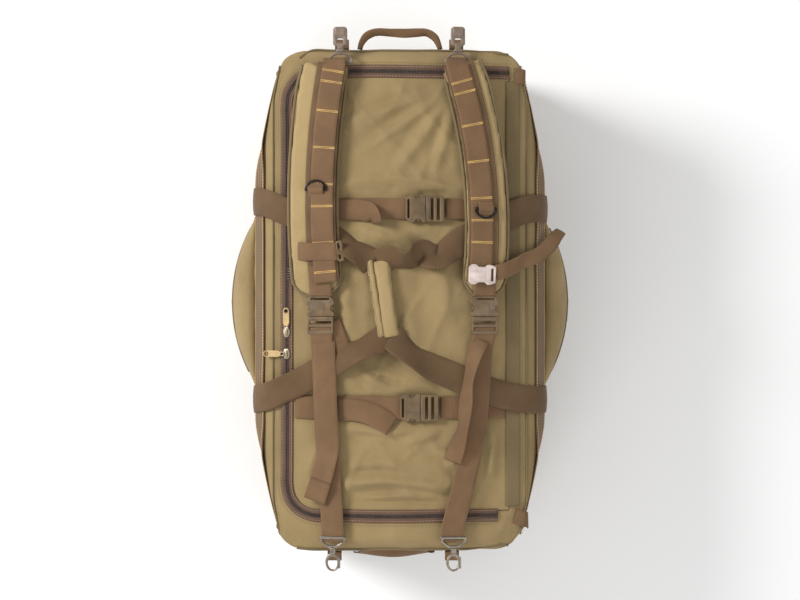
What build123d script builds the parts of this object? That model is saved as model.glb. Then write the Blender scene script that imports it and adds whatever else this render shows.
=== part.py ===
from build123d import *

import os
from functools import cache
from math import asin, atan2, cos, degrees, hypot, radians, sin, sqrt

# Rolling duffel bag lying on its base. Millimetres, +Z up, +X to the wheel end, -Y to the zip side.
# The origin is on the ground under the middle of the bag.

# Driving dimensions
HALF_LENGTH = 407  # flat end to middle
BASE_Z = 14  # underside of the base panel, carried by rails and wheels
CROWN_Z = 350  # top of the closed lid
BASE_HALF_WIDTH = 195
END_HALF_WIDTH = 190
MID_HALF_WIDTH = 250  # the filled bag bulges between its ends
SHOULDER_Y = 200  # where the crown turns down into the side
EAVES_Y, EAVES_Z = 238, 275
FLANK_Z = 150  # height of the widest point of the side
BEVEL = 17  # of the end edges, beside the crown
WALL = 3
GAP = 0.4  # between soft layers that lie on each other
SEWN_GAP = 0.35  # under webbing that is sewn to the skin
FAR = 1000  # longer than anything in the bag

# The lid's crown is a cylinder along X: 22 mm of rise over 360 mm of width
CROWN_HALF_CHORD, CROWN_RISE = 180, 22
CROWN_R = (CROWN_HALF_CHORD**2 + CROWN_RISE**2) / (2 * CROWN_RISE)
CROWN_AXIS_Z = CROWN_Z - CROWN_R

# Wheel end
WHEEL_ROWS = {"left": -142, "mid": 0, "right": 142}
WHEEL_X, WHEEL_R, WHEEL_W = 373, 40, 36
CORNER_R, CORNER_DROP = 65, 4  # lower corner of the wheel end
WELL_X0, WELL_HALF_W, WELL_TOP, WELL_WALL = 327, 21, 87, 2.5
HOUSING_TIP_X, HOUSING_STEP_X, HOUSING_TOP_Z = 194, 300, 120
HOUSING_NARROW, HOUSING_WIDE = 55, 88
AXLE_R = 3
RUNNING_FIT = 0.05
PRESS_GAP = 0.02

# Skid rails
RAIL_Y, RAIL_X0, RAIL_X1, RAIL_W = 95, -366, 246, 28
SCREW_X = (-350, -60, 230)
SCREW_R, SCREW_HEAD_R, SCREW_TOP = 2, 4.5, 24

# Lid and zip
LID_X0, LID_X1, LID_Y0, LID_Y1 = -363.5, 343.5, -177.5, 179.6
LID_CORNER = 42
ZIP_W = 18
SLIDER_LENGTH, SLIDER_W, SLIDER_H = 17, 11, 6
SLIDER_X = {"head": 52, "wheel": 88}
PULL_LENGTH, PULL_W, PULL_T = 30, 11, 1.6
PULL_START = 9.5  # from the slider's middle, so the pull clears the bridge as it turns up

# Webbing
WEB = 38
HANDLE_WEB = 50
WEB_T = 1.8
GIRTH_X = (-166, 171)
CROSS_X = {"upper": -148, "lower": 175}
CROSS_BUCKLE_Y = {"upper": 9, "lower": 0}

# Heights above the crown of what lies on the lid
CROSS_LOW = 0.5
HANDLE_LOW = 7.5
WEBBING_LOW = 10
PAD_LOW, PAD_T, PAD_W = 10.5, 12, 76
BAND_LOW, OVERLAY_LOW, STERNUM_LOW = 22.8, 24.8, 27.2
BUCKLE_LOW = 12.2
RING_GAP = 1.3  # under a D-ring, so its square bar can turn

# Side-release buckle
BUCKLE_W, BUCKLE_T, FEMALE_LENGTH, MALE_LENGTH = 46, 9, 32, 30
MOUTH_W, MOUTH_T, MOUTH_DEPTH = 38, 5, 27

# Side pockets are half moons around a vertical axis; their zips follow the same arc
POCKET_X0, POCKET_X1, POCKET_Y_ENDS, POCKET_Y_OUT = -138, 143, 242, 282
POCKET_ZIP_Z = 205

os.makedirs("parts", exist_ok=True)


def save(part, name):
    part.label = name
    export_step(part, f"parts/{name}.step")


def crown_plane(x, y, height=0):
    """A plane that lies on the crown at (x, y), with its normal away from the crown."""
    tilt = asin(y / CROWN_R)
    reach = CROWN_R + height
    return Plane(
        origin=(x, reach * sin(tilt), CROWN_AXIS_Z + reach * cos(tilt)),
        x_dir=(1, 0, 0),
        z_dir=(0, sin(tilt), cos(tilt)),
    )


def turned(plane, angle):
    """The same plane with its local x turned by angle degrees about its normal."""
    x_dir = plane.x_dir * cos(radians(angle)) + plane.y_dir * sin(radians(angle))
    return Plane(origin=plane.origin, x_dir=x_dir, z_dir=plane.z_dir)


@cache
def body_volume(inset):
    """The filled bag as one closed volume, its faces moved inwards by inset."""
    with BuildPart() as volume:
        with BuildSketch(Plane.YZ.offset(-FAR / 2)) as section:
            with BuildLine():
                Line((-BASE_HALF_WIDTH, BASE_Z), (BASE_HALF_WIDTH, BASE_Z))
                for side in (1, -1):
                    shoulder_z = CROWN_AXIS_Z + sqrt(CROWN_R**2 - SHOULDER_Y**2)
                    ThreePointArc(
                        (side * BASE_HALF_WIDTH, BASE_Z),
                        (side * (MID_HALF_WIDTH + 4), FLANK_Z),
                        (side * EAVES_Y, EAVES_Z),
                    )
                    ThreePointArc(
                        (side * EAVES_Y, EAVES_Z),
                        (side * 227, 303),
                        (side * SHOULDER_Y, shoulder_z),
                    )
                ThreePointArc((-SHOULDER_Y, shoulder_z), (0, CROWN_Z), (SHOULDER_Y, shoulder_z))
            make_face()
            if inset:
                offset(amount=-inset, kind=Kind.INTERSECTION)
        extrude(amount=FAR)
        length, ends, middle = HALF_LENGTH - inset, END_HALF_WIDTH - inset, MID_HALF_WIDTH - inset
        with BuildSketch(Plane.XY) as plan:
            with BuildLine():
                ThreePointArc((-length, ends), (0, middle), (length, ends))
                Line((length, ends), (length, -ends))
                ThreePointArc((length, -ends), (0, -middle), (-length, -ends))
                Line((-length, -ends), (-length, ends))
            make_face()
            fillet(plan.vertices(), radius=45 - inset)
        extrude(amount=FAR, mode=Mode.INTERSECT)
        # The corner's arc runs out below the base, so it meets the base at an angle
        low, corner = BASE_Z + inset - CORNER_DROP, CORNER_R + CORNER_DROP - inset
        # The end edges are bevelled; the bevels run out above the crown
        bevel_low, bevel_high = CROWN_Z - BEVEL - inset, CROWN_Z + BEVEL - inset
        with BuildSketch(Plane.XZ) as profile:
            with BuildLine():
                Polyline(
                    (length, low), (length, bevel_low), (length - 2 * BEVEL, bevel_high),
                    (2 * BEVEL - length, bevel_high), (-length, bevel_low), (-length, low), close=True,
                )
            make_face()
            fillet(profile.vertices().sort_by_distance((length, low))[0], radius=corner)
        extrude(amount=FAR / 2, both=True, mode=Mode.INTERSECT)
    return volume.part


def crown_layer(low, high):
    """The space between two heights above the crown, along the whole bag."""
    with BuildPart() as layer:
        with BuildSketch(Plane.YZ.offset(-FAR / 2)):
            with Locations((0, CROWN_AXIS_Z)):
                Circle(CROWN_R + high)
                Circle(CROWN_R + low, mode=Mode.SUBTRACT)
            with Locations((0, CROWN_Z)):
                Rectangle(2 * (SHOULDER_Y + 20), 120, mode=Mode.INTERSECT)
        extrude(amount=FAR)
    return layer.part


def crown_sheet(outline, low, thickness):
    """A sheet that follows the crown, cut to a plan outline."""
    with BuildPart() as sheet:
        with BuildSketch(Plane.XY.offset(CROWN_Z - 100)):
            add(outline)
        extrude(amount=200, dir=(0, 0, 1))
        add(crown_layer(low, low + thickness), mode=Mode.INTERSECT)
    return sheet.part


def plan_box(x0, x1, y0, y1, corner=0):
    """A plan outline from its limits, with optional rounded corners."""
    with BuildSketch() as outline:
        with Locations(((x0 + x1) / 2, (y0 + y1) / 2)):
            Rectangle(x1 - x0, y1 - y0)
        if corner:
            fillet(outline.vertices(), radius=corner)
    return outline.sketch


def plan_band(points, width):
    """A band of webbing seen from above: straight runs with round corners."""
    with BuildSketch() as outline:
        for (x0, y0), (x1, y1) in zip(points, points[1:]):
            heading = degrees(atan2(y1 - y0, x1 - x0))
            with Locations(Location(((x0 + x1) / 2, (y0 + y1) / 2, 0), (0, 0, heading))):
                Rectangle(hypot(x1 - x0, y1 - y0), width)
        if len(points) > 2:
            with Locations(*points[1:-1]):
                Circle(width / 2)
    return outline.sketch


def lid_outline(grow):
    """The lid's plan outline, square at the hinge and rounded at the zip side."""
    with BuildSketch() as outline:
        with BuildLine():
            x0, x1, y0, y1 = LID_X0 - grow, LID_X1 + grow, LID_Y0 - grow, LID_Y1 + min(grow, GAP)
            FilletPolyline(
                (x0, y1), (x0, y0), (x1, y0), (x1, y1), radius=LID_CORNER + grow
            )
            Line((x0, y1), (x1, y1))
        make_face()
    return outline.sketch


def skin_ring(low, high, z0, z1):
    """The space between two heights off the whole bag's skin, between two levels."""
    with BuildPart() as ring:
        add(body_volume(-high))
        add(body_volume(-low), mode=Mode.SUBTRACT)
        with BuildSketch(Plane.XY.offset(z0)):
            Rectangle(FAR, FAR)
        extrude(amount=z1 - z0, mode=Mode.INTERSECT)
    return ring.part


# ---------------------------------------------------------------- wheel end
def wheel_well(y, spread):
    """The box that a wheel turns in, open downwards and outwards."""
    with BuildPart() as well:
        with BuildSketch(Plane.XY.offset(-20)):
            add(plan_box(WELL_X0 - spread, FAR / 2, y - WELL_HALF_W - spread, y + WELL_HALF_W + spread))
        extrude(amount=20 + WELL_TOP + spread)
    return well.part


def wheel_housing(y):
    """Moulding that wraps the corner: a tongue, a wider shoe and the well behind the wheel."""
    centre_x, centre_z = HALF_LENGTH - CORNER_R, BASE_Z + CORNER_R
    with BuildPart() as housing:
        with BuildSketch(Plane.XZ.offset(-y)):
            with BuildLine():
                Polyline(
                    (HALF_LENGTH - 30, HOUSING_TOP_Z), (HALF_LENGTH - 30, BASE_Z + 15),
                    (HOUSING_TIP_X, BASE_Z + 15), (HOUSING_TIP_X, BASE_Z - 1),
                    (HOUSING_TIP_X + 8, 6), (centre_x, 3),
                )
                ThreePointArc((centre_x, 3), (394, 27), (HALF_LENGTH + 4, centre_z))
                Polyline(
                    (HALF_LENGTH + 4, centre_z), (HALF_LENGTH + 4, HOUSING_TOP_Z - 3),
                    (HALF_LENGTH + 1, HOUSING_TOP_Z), (HALF_LENGTH - 30, HOUSING_TOP_Z),
                )
            make_face()
        extrude(amount=HOUSING_WIDE / 2, both=True)
        narrow, wide = HOUSING_NARROW / 2, HOUSING_WIDE / 2
        with BuildSketch(Plane((0, y, 0))):
            with BuildLine():
                for side in (1, -1):
                    ThreePointArc(
                        (HOUSING_TIP_X, side * 12), (HOUSING_TIP_X + 5, side * 20),
                        (HOUSING_TIP_X + 16, side * (narrow - 2)),
                    )
                    Polyline(
                        (HOUSING_TIP_X + 16, side * (narrow - 2)), (HOUSING_STEP_X - 8, side * narrow),
                        (HOUSING_STEP_X + 6, side * (wide - 3)), (HOUSING_STEP_X + 20, side * wide),
                        (HALF_LENGTH + 10, side * wide),
                    )
                Line((HOUSING_TIP_X, -12), (HOUSING_TIP_X, 12))
                Line((HALF_LENGTH + 10, -wide), (HALF_LENGTH + 10, wide))
            make_face()
        extrude(amount=FAR / 2, both=True, mode=Mode.INTERSECT)
        # Two shallow flutes along the tongue
        with BuildSketch(Plane.XY):
            with Locations((HOUSING_TIP_X + 76, y - 13), (HOUSING_TIP_X + 76, y + 13)):
                SlotOverall(86, 15)
        extrude(amount=8.5, taper=25, mode=Mode.SUBTRACT)
        add(body_volume(-GAP), mode=Mode.SUBTRACT)
        # Walls of the well, trimmed to the bag's corner
        shell = wheel_well(y, WELL_WALL) & body_volume(-0.8)
        add(shell)
        add(wheel_well(y, 0), mode=Mode.SUBTRACT)
        # Holes for the axle and the three rivets
        with BuildSketch(Plane.XZ.offset(-y)):
            with Locations((WHEEL_X, WHEEL_R)):
                Circle(AXLE_R + PRESS_GAP)
        extrude(amount=WELL_HALF_W + 2 * WELL_WALL + 22, both=True, mode=Mode.SUBTRACT)
        with BuildSketch(Plane.XY):
            with Locations((HOUSING_TIP_X + 16, y)):
                Circle(SCREW_R + 0.2)
        extrude(amount=30, mode=Mode.SUBTRACT)
        with BuildSketch(Plane.YZ.offset(HALF_LENGTH - 20)):
            with Locations((y - 33, HOUSING_TOP_Z - 14), (y + 33, HOUSING_TOP_Z - 14)):
                Circle(SCREW_R + 0.2)
        extrude(amount=40, mode=Mode.SUBTRACT)
    return housing.part


def tyre(y):
    """A chunky tyre with staggered tread blocks, on its rim."""
    with BuildPart() as ring:
        with BuildSketch(Plane.YZ.offset(WHEEL_X)):
            with Locations((y, WHEEL_R + (WHEEL_R + 25) / 2)):
                Rectangle(WHEEL_W, WHEEL_R - 25)
            with Locations((y - WHEEL_W / 2, 2 * WHEEL_R), (y + WHEEL_W / 2, 2 * WHEEL_R)):
                Rectangle(10, 10, rotation=45, mode=Mode.SUBTRACT)
        revolve(axis=Axis((WHEEL_X, y, WHEEL_R), (0, 1, 0)))
        turn_plane = Plane(origin=(WHEEL_X, y, WHEEL_R), x_dir=(1, 0, 0), z_dir=(0, 1, 0))
        for side, phase in ((1, 0), (-1, 14)):
            with BuildSketch(turn_plane.offset(side * WHEEL_W / 2)):
                with PolarLocations(WHEEL_R, 13, start_angle=phase):
                    Rectangle(7, 6)
            extrude(amount=-side * (WHEEL_W / 2 - 3), mode=Mode.SUBTRACT)
        with BuildSketch(Plane.YZ.offset(WHEEL_X)):
            with Locations((y, 2 * WHEEL_R)):
                Rectangle(3.2, 6)
        revolve(axis=Axis((WHEEL_X, y, WHEEL_R), (0, 1, 0)), mode=Mode.SUBTRACT)
    return ring.part


def wheel_hub(y):
    """Spoked plastic rim with a plain bore that runs on the axle."""
    plane = Plane(origin=(WHEEL_X, y, WHEEL_R), x_dir=(1, 0, 0), z_dir=(0, 1, 0))
    with BuildPart() as hub:
        with BuildSketch(plane):
            Circle(25 - PRESS_GAP)
        extrude(amount=WHEEL_W / 2 - 2, both=True)
        for side in (1, -1):
            with BuildSketch(plane.offset(side * (WHEEL_W / 2 - 2))):
                Circle(21)
                Circle(8, mode=Mode.SUBTRACT)
                with PolarLocations(14, 5):
                    Rectangle(16, 4, mode=Mode.SUBTRACT)
            extrude(amount=-side * 10, mode=Mode.SUBTRACT)
        with BuildSketch(plane):
            Circle(AXLE_R + RUNNING_FIT)
        extrude(amount=WHEEL_W, both=True, mode=Mode.SUBTRACT)
    return hub.part


for row, row_y in WHEEL_ROWS.items():
    save(wheel_housing(row_y), f"wheel_housing_{row}")
    save(tyre(row_y), f"tyre_{row}")
    save(wheel_hub(row_y), f"wheel_hub_{row}")

with BuildPart() as wheel_axles:
    for row_y in WHEEL_ROWS.values():
        with BuildSketch(Plane.XZ.offset(-row_y)):
            with Locations((WHEEL_X, WHEEL_R)):
                Circle(AXLE_R)
        extrude(amount=WELL_HALF_W + WELL_WALL, both=True)
save(wheel_axles.part, "wheel_axles")


def rivet(plane, shank_length):
    """A domed rivet: its head stands on the plane, its shank goes the other way."""
    with BuildPart() as pin:
        with BuildSketch(plane):
            Circle(SCREW_HEAD_R)
        extrude(amount=1.8, taper=30)
        with BuildSketch(plane):
            Circle(SCREW_R)
        extrude(amount=-shank_length)
    return pin.part


with BuildPart() as housing_rivets:
    for row_y in WHEEL_ROWS.values():
        tip = Plane(origin=(HOUSING_TIP_X + 16, row_y, 5.2), x_dir=(1, 0, 0), z_dir=(0, 0, -1))
        add(rivet(tip, SCREW_TOP - 5.2))
        for side in (-33, 33):
            end_origin = (HALF_LENGTH + 4.1, row_y + side, HOUSING_TOP_Z - 14)
            add(rivet(Plane(origin=end_origin, x_dir=(0, 1, 0), z_dir=(1, 0, 0)), 12))
save(housing_rivets.part, "housing_rivets")


# ---------------------------------------------------------------- base
def skid_rail(y):
    """Trapezoid runner with two long grooves and tapered ends."""
    top = BASE_Z - GAP
    with BuildPart() as rail:
        with BuildSketch(Plane.YZ.offset(RAIL_X0)):
            with Locations((y, 0)):
                Polygon((-9, 0), (9, 0), (14, top), (-14, top), align=None)
                for groove in (-4.2, 4.2):
                    with Locations((groove, 1)):
                        Rectangle(3.6, 3, mode=Mode.SUBTRACT)
        extrude(amount=RAIL_X1 - RAIL_X0)
        # The ends ramp up so that the rail slides over an edge
        with BuildSketch(Plane.XZ):
            with BuildLine():
                Polyline(
                    (RAIL_X0, top), (RAIL_X0, top - 3), (RAIL_X0 + 16, 0),
                    (RAIL_X1 - 16, 0), (RAIL_X1, top - 3), (RAIL_X1, top), close=True,
                )
            make_face()
        extrude(amount=FAR / 2, both=True, mode=Mode.INTERSECT)
        with BuildSketch(Plane.XY):
            with Locations(*[(x, y) for x in SCREW_X]):
                Circle(SCREW_HEAD_R + 0.6)
        extrude(amount=4, mode=Mode.SUBTRACT)
        with BuildSketch(Plane.XY):
            with Locations(*[(x, y) for x in SCREW_X]):
                Circle(SCREW_R + 0.2)
        extrude(amount=20, mode=Mode.SUBTRACT)
    return rail.part


save(skid_rail(-RAIL_Y), "skid_rail_left")
save(skid_rail(RAIL_Y), "skid_rail_right")

with BuildPart() as rail_screws:
    for y in (-RAIL_Y, RAIL_Y):
        for x in SCREW_X:
            head = Plane(origin=(x, y, 3.9), x_dir=(1, 0, 0), z_dir=(0, 0, -1))
            add(rivet(head, SCREW_TOP - 3.9))
save(rail_screws.part, "rail_screws")


def fixing_holes():
    """Clearance for every screw and rivet shank that goes through the bag's skin."""
    with BuildPart() as holes:
        with BuildSketch(Plane.XY):
            spots = [(x, y) for x in SCREW_X for y in (-RAIL_Y, RAIL_Y)]
            spots += [(HOUSING_TIP_X + 16, y) for y in WHEEL_ROWS.values()]
            with Locations(*spots):
                Circle(SCREW_R + 0.3)
        extrude(amount=40)
        with BuildSketch(Plane.YZ.offset(HALF_LENGTH - 20)):
            with Locations(*[(y + s, HOUSING_TOP_Z - 14) for y in WHEEL_ROWS.values() for s in (-33, 33)]):
                Circle(SCREW_R + 0.3)
        extrude(amount=40)
    return holes.part


with BuildPart() as base_board:
    with BuildSketch(Plane.XY.offset(BASE_Z + WALL + GAP)) as board_plan:
        Rectangle(2 * 385, 2 * 180)
        fillet(board_plan.vertices(), radius=30)
        with Locations((WELL_X0 - 8 + 200, 0)):
            Rectangle(400, 400, mode=Mode.SUBTRACT)
    extrude(amount=3)
    add(fixing_holes(), mode=Mode.SUBTRACT)
save(base_board.part, "base_board")

# ---------------------------------------------------------------- soft shell and lid
with BuildPart() as body_shell:
    add(body_volume(0))
    add(body_volume(WALL), mode=Mode.SUBTRACT)
    with BuildSketch(Plane.XY.offset(CROWN_Z - 70)):
        add(lid_outline(0.6))
    extrude(amount=200, mode=Mode.SUBTRACT)
    for row_y in WHEEL_ROWS.values():
        add(wheel_well(row_y, WELL_WALL + GAP), mode=Mode.SUBTRACT)
    add(fixing_holes(), mode=Mode.SUBTRACT)
save(body_shell.part, "body_shell")

lid_panel = crown_sheet(lid_outline(0), -WALL, WALL)
save(lid_panel, "lid_panel")

zip_outer, zip_inner = lid_outline(ZIP_W), lid_outline(0.6)
with BuildPart() as main_zip:
    add(crown_sheet(zip_outer - zip_inner, 0.3, 1.6))
save(main_zip.part, "main_zip")

hinge_tape = crown_sheet(plan_box(LID_X0 + 12, LID_X1 - 12, 183, 196), 0.3, 1)
save(hinge_tape, "hinge_seam_tape")

ZIP_LINE_Y = LID_Y0 - ZIP_W / 2 + 1.5


def zip_slider(x):
    """Slider body with the bridge that its pull hangs on."""
    plane = crown_plane(x, ZIP_LINE_Y, 2.2)
    with BuildPart() as slider:
        with BuildSketch(plane):
            Polygon(
                (-SLIDER_LENGTH / 2, -3.5), (0, -SLIDER_W / 2), (SLIDER_LENGTH / 2, -3.5),
                (SLIDER_LENGTH / 2, 3.5), (0, SLIDER_W / 2), (-SLIDER_LENGTH / 2, 3.5), align=None,
            )
        extrude(amount=2)
        with BuildSketch(plane.offset(2)):
            with Locations((-4.5, 0), (4.5, 0)):
                Rectangle(2, 3)
        extrude(amount=2.2)
        with BuildSketch(plane.offset(4.2)):
            Rectangle(11, 3)
        extrude(amount=0.8)
    return slider.part


def zip_pull(x, swing):
    """Flat pull tab with a punched hole, hooked under the slider's bridge; swing turns it in plan."""
    plane = turned(crown_plane(x, ZIP_LINE_Y, 2.2).offset(2.3), swing)
    with BuildPart() as pull:
        with BuildSketch(plane):
            with Locations((PULL_START + PULL_LENGTH / 2, 0)):
                SlotOverall(PULL_LENGTH, PULL_W)
            with Locations((PULL_START + PULL_LENGTH - 5.5, 0)):
                Circle(2.6, mode=Mode.SUBTRACT)
        extrude(amount=PULL_T)
    return pull.part


for place, slider_x in SLIDER_X.items():
    save(zip_slider(slider_x), f"zip_slider_{place}")
save(zip_pull(SLIDER_X["head"], 180), "zip_pull_head")
save(zip_pull(SLIDER_X["wheel"], -90), "zip_pull_wheel")

# ---------------------------------------------------------------- webbing sewn to the body
with BuildPart() as edge_webbing:
    add(skin_ring(SEWN_GAP, SEWN_GAP + WEB_T, 268, 302))
    with BuildSketch(Plane.XY.offset(200)):
        for side in (1, -1):
            with Locations((0, side * (100 + FAR / 4))):
                Rectangle(2 * 372, FAR / 2)
    extrude(amount=200, mode=Mode.INTERSECT)
save(edge_webbing.part, "edge_webbing")

with BuildPart() as girth_webbing:
    add(skin_ring(SEWN_GAP, SEWN_GAP + WEB_T, BASE_Z + 4, 266))
    with BuildSketch(Plane.XY):
        for x in GIRTH_X:
            for side in (1, -1):
                with Locations((x, side * 250)):
                    Rectangle(HANDLE_WEB, 300)
    extrude(amount=400, mode=Mode.INTERSECT)
save(girth_webbing.part, "girth_webbing")

with BuildPart() as base_piping:
    with BuildSketch(Plane.XY.offset(BASE_Z - 2.4)) as piping_plan:
        with Locations((-20, 0)):
            Rectangle(2 * 379, 2 * 188)
        fillet(piping_plan.vertices(), radius=40)
        offset(amount=-3, mode=Mode.SUBTRACT)
        with Locations((340, 0)):
            Rectangle(100, 500, mode=Mode.SUBTRACT)
    extrude(amount=2)
save(base_piping.part, "base_piping")


# ---------------------------------------------------------------- side pockets
def moon(side, inset, z0, z1):
    """Half-moon block beside the bag, in plan an arc over a chord."""
    y_ends, y_out = side * (POCKET_Y_ENDS - inset), side * (POCKET_Y_OUT - inset)
    x0, x1 = POCKET_X0 + inset, POCKET_X1 - inset
    with BuildPart() as block:
        with BuildSketch(Plane.XY.offset(z0)):
            with BuildLine():
                ThreePointArc((x0, y_ends), ((x0 + x1) / 2, y_out), (x1, y_ends))
                Polyline((x1, y_ends), (x1, side * 180), (x0, side * 180), (x0, y_ends))
            make_face()
        extrude(amount=z1 - z0)
        with BuildSketch(Plane.YZ.offset(POCKET_X0)):
            with BuildLine():
                Line((side * 150, 40 + inset), (side * (212 - inset), 40 + inset))
                ThreePointArc(
                    (side * (212 - inset), 40 + inset), (side * (266 - inset), 95),
                    (side * (POCKET_Y_OUT - inset), POCKET_ZIP_Z),
                )
                ThreePointArc(
                    (side * (POCKET_Y_OUT - inset), POCKET_ZIP_Z), (side * (275 - inset), 240),
                    (side * 240, 262 - inset),
                )
                Polyline((side * 240, 262 - inset), (side * 150, 262 - inset), (side * 150, 40 + inset))
            make_face()
        extrude(amount=POCKET_X1 - POCKET_X0, mode=Mode.INTERSECT)
    return block.part


POCKET_MID_X = (POCKET_X0 + POCKET_X1) / 2
POCKET_HALF_CHORD = (POCKET_X1 - POCKET_X0) / 2
POCKET_SAG = POCKET_Y_OUT - POCKET_Y_ENDS
POCKET_R = (POCKET_HALF_CHORD**2 + POCKET_SAG**2) / (2 * POCKET_SAG)
POCKET_AXIS_Y = POCKET_Y_OUT - POCKET_R


def pocket_sector(side, r_low, r_high, z0, z1, half_angle):
    """A stretch of the pocket's zip line, around the pocket's own axis."""
    with BuildPart() as sector:
        with BuildSketch(Plane.XY.offset(z0)):
            with Locations((POCKET_MID_X, side * POCKET_AXIS_Y)):
                Circle(POCKET_R + r_high)
                Circle(POCKET_R + r_low, mode=Mode.SUBTRACT)
                reach = FAR / 2
                spread = reach * sin(half_angle) / cos(half_angle)
                Polygon(
                    (0, 0), (-spread, side * reach), (spread, side * reach),
                    align=None, mode=Mode.INTERSECT,
                )
        extrude(amount=z1 - z0)
    return sector.part


ZIP_HALF_ANGLE = 0.42  # radians either side of the pocket's middle
for name, side in (("left", -1), ("right", 1)):
    with BuildPart() as side_pocket:
        add(moon(side, 0, 40, 262))
        add(body_volume(-GAP), mode=Mode.SUBTRACT)
        hollow = moon(side, WALL, 43, 259) - body_volume(-GAP - WALL)
        add(hollow, mode=Mode.SUBTRACT)
        add(
            pocket_sector(side, -40, 10, POCKET_ZIP_Z - 4, POCKET_ZIP_Z + 4, ZIP_HALF_ANGLE),
            mode=Mode.SUBTRACT,
        )
    save(side_pocket.part, f"side_pocket_{name}")
    with BuildPart() as pocket_slider:
        add(pocket_sector(side, 1.9, 4.0, POCKET_ZIP_Z - 5, POCKET_ZIP_Z + 5, 0.028))
        add(pocket_sector(side, 1.9, 3.0, POCKET_ZIP_Z - 30, POCKET_ZIP_Z - 4.5, 0.012))
    save(pocket_slider.part, f"pocket_slider_{name}")


with BuildPart() as pocket_zips:
    for side in (-1, 1):
        add(pocket_sector(side, 0.3, 1.5, POCKET_ZIP_Z - 10, POCKET_ZIP_Z + 10, ZIP_HALF_ANGLE + 0.02))
save(pocket_zips.part, "pocket_zips")


# ---------------------------------------------------------------- grab handles and anchor loops
def webbing_loop(plane, half_width, reach, band, thickness):
    """A U of webbing in the plane: local x is outwards, local y across the bag. It turns about its round ends."""
    with BuildPart() as loop:
        with BuildSketch(plane) as u:
            with Locations((reach / 2, 0)):
                Rectangle(reach, 2 * half_width)
            fillet(u.vertices().group_by(Axis.X)[-1], radius=reach * 0.7)
            with Locations(((reach - band) / 2 - 1, 0)):
                Rectangle(reach - band + 2, 2 * (half_width - band), mode=Mode.SUBTRACT)
        extrude(amount=thickness / 2, both=True)
        for side in (1, -1):
            leg_end = Plane(
                origin=plane.origin + plane.y_dir * side * (half_width - band / 2),
                x_dir=plane.x_dir, z_dir=plane.y_dir,
            )
            with BuildSketch(leg_end):
                Circle(thickness / 2)
            extrude(amount=band / 2, both=True)
    return loop.part


HEAD_HANDLE_Z, FOOT_HANDLE_Z = 318, 296
head_plane = Plane(origin=(-HALF_LENGTH - 4.4, 0, HEAD_HANDLE_Z), x_dir=(-1, 0, 0), z_dir=(0, 0, 1))
foot_plane = Plane(origin=(HALF_LENGTH + 9, -10, FOOT_HANDLE_Z), x_dir=(0, 0, -1), z_dir=(1, 0, 0))
save(webbing_loop(head_plane, 69, 31.6, 12, 8), "head_handle")
save(webbing_loop(foot_plane, 66, 38, 13, 8), "foot_handle")

STRAP_Y = {"left": -1, "right": 1}
HEAD_HOOK_Y = {"left": -95, "right": 92}
FOOT_HOOK_Y = {"left": -107, "right": 85}

with BuildPart() as anchor_loops:
    for side in STRAP_Y:
        with BuildSketch(Plane.XY.offset(330)):
            add(plan_box(-HALF_LENGTH - 20, -HALF_LENGTH - 0.4, HEAD_HOOK_Y[side] - 12, HEAD_HOOK_Y[side] + 12))
            add(plan_box(HALF_LENGTH + 0.4, HALF_LENGTH + 20, FOOT_HOOK_Y[side] - 12, FOOT_HOOK_Y[side] + 12))
        extrude(amount=-2)
    for x, y, reach in ((LID_X0 + 2, 190, 24), (LID_X1 + 14, 190, 28)):
        add(crown_sheet(plan_box(x - 12, x + 4, y + 8, y + 8 + reach / 2), 0.4, 2))
save(anchor_loops.part, "webbing_tabs")

# ---------------------------------------------------------------- what lies on the lid
for place, strap_x in CROSS_X.items():
    outline = plan_box(strap_x - WEB / 2, strap_x + WEB / 2, LID_Y0 + 4, LID_Y1 - 5)
    save(crown_sheet(outline, CROSS_LOW, WEB_T), f"cross_strap_{place}")


def buckle_plane(x, y, along_x, low):
    """A plane on the crown whose local x is the buckle's pull direction."""
    return turned(crown_plane(x, y, low), 0 if along_x else 90)


def buckle_female(plane):
    """The half with the mouth: its mouth faces local +x at the plane's origin."""
    with BuildPart() as half:
        with BuildSketch(plane):
            with Locations((-FEMALE_LENGTH / 2, 0)):
                RectangleRounded(FEMALE_LENGTH, BUCKLE_W, 4)
        extrude(amount=BUCKLE_T)
        with BuildSketch(plane.offset((BUCKLE_T - MOUTH_T) / 2)):
            with Locations((-MOUTH_DEPTH / 2, 0)):
                Rectangle(MOUTH_DEPTH, MOUTH_W)
            with Locations((-MOUTH_DEPTH / 2 - 3, 0)):
                Rectangle(12, 2 * BUCKLE_W)
        extrude(amount=MOUTH_T, mode=Mode.SUBTRACT)
    return half.part


def buckle_male(plane):
    """The half with two spring prongs and a ladder of two slots for the webbing."""
    start = 0.4
    with BuildPart() as half:
        with BuildSketch(plane):
            with Locations((start + MALE_LENGTH / 2, 0)):
                RectangleRounded(MALE_LENGTH, BUCKLE_W - 2, 3)
            with Locations((start + 12, 0), (start + 22, 0)):
                Rectangle(4.5, WEB - 2, mode=Mode.SUBTRACT)
        extrude(amount=BUCKLE_T)
        with BuildSketch(plane.offset((BUCKLE_T - MOUTH_T) / 2 + 0.6)):
            for side in (-1, 1):
                with Locations((-10.5, side * (MOUTH_W / 2 - 3.6))):
                    Rectangle(24, 5)
            with Locations((-8, 0)):
                Rectangle(19, 4)
        extrude(amount=MOUTH_T - 1.2)
    return half.part


with BuildPart() as cross_buckle_females:
    for place, strap_x in CROSS_X.items():
        joint_y = CROSS_BUCKLE_Y[place] + FEMALE_LENGTH
        plane = buckle_plane(strap_x, joint_y, False, CROSS_LOW + WEB_T + 0.5)
        add(buckle_female(plane))
        save(buckle_male(plane), f"cross_buckle_male_{place}")
save(cross_buckle_females.part, "cross_buckle_females")

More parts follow.
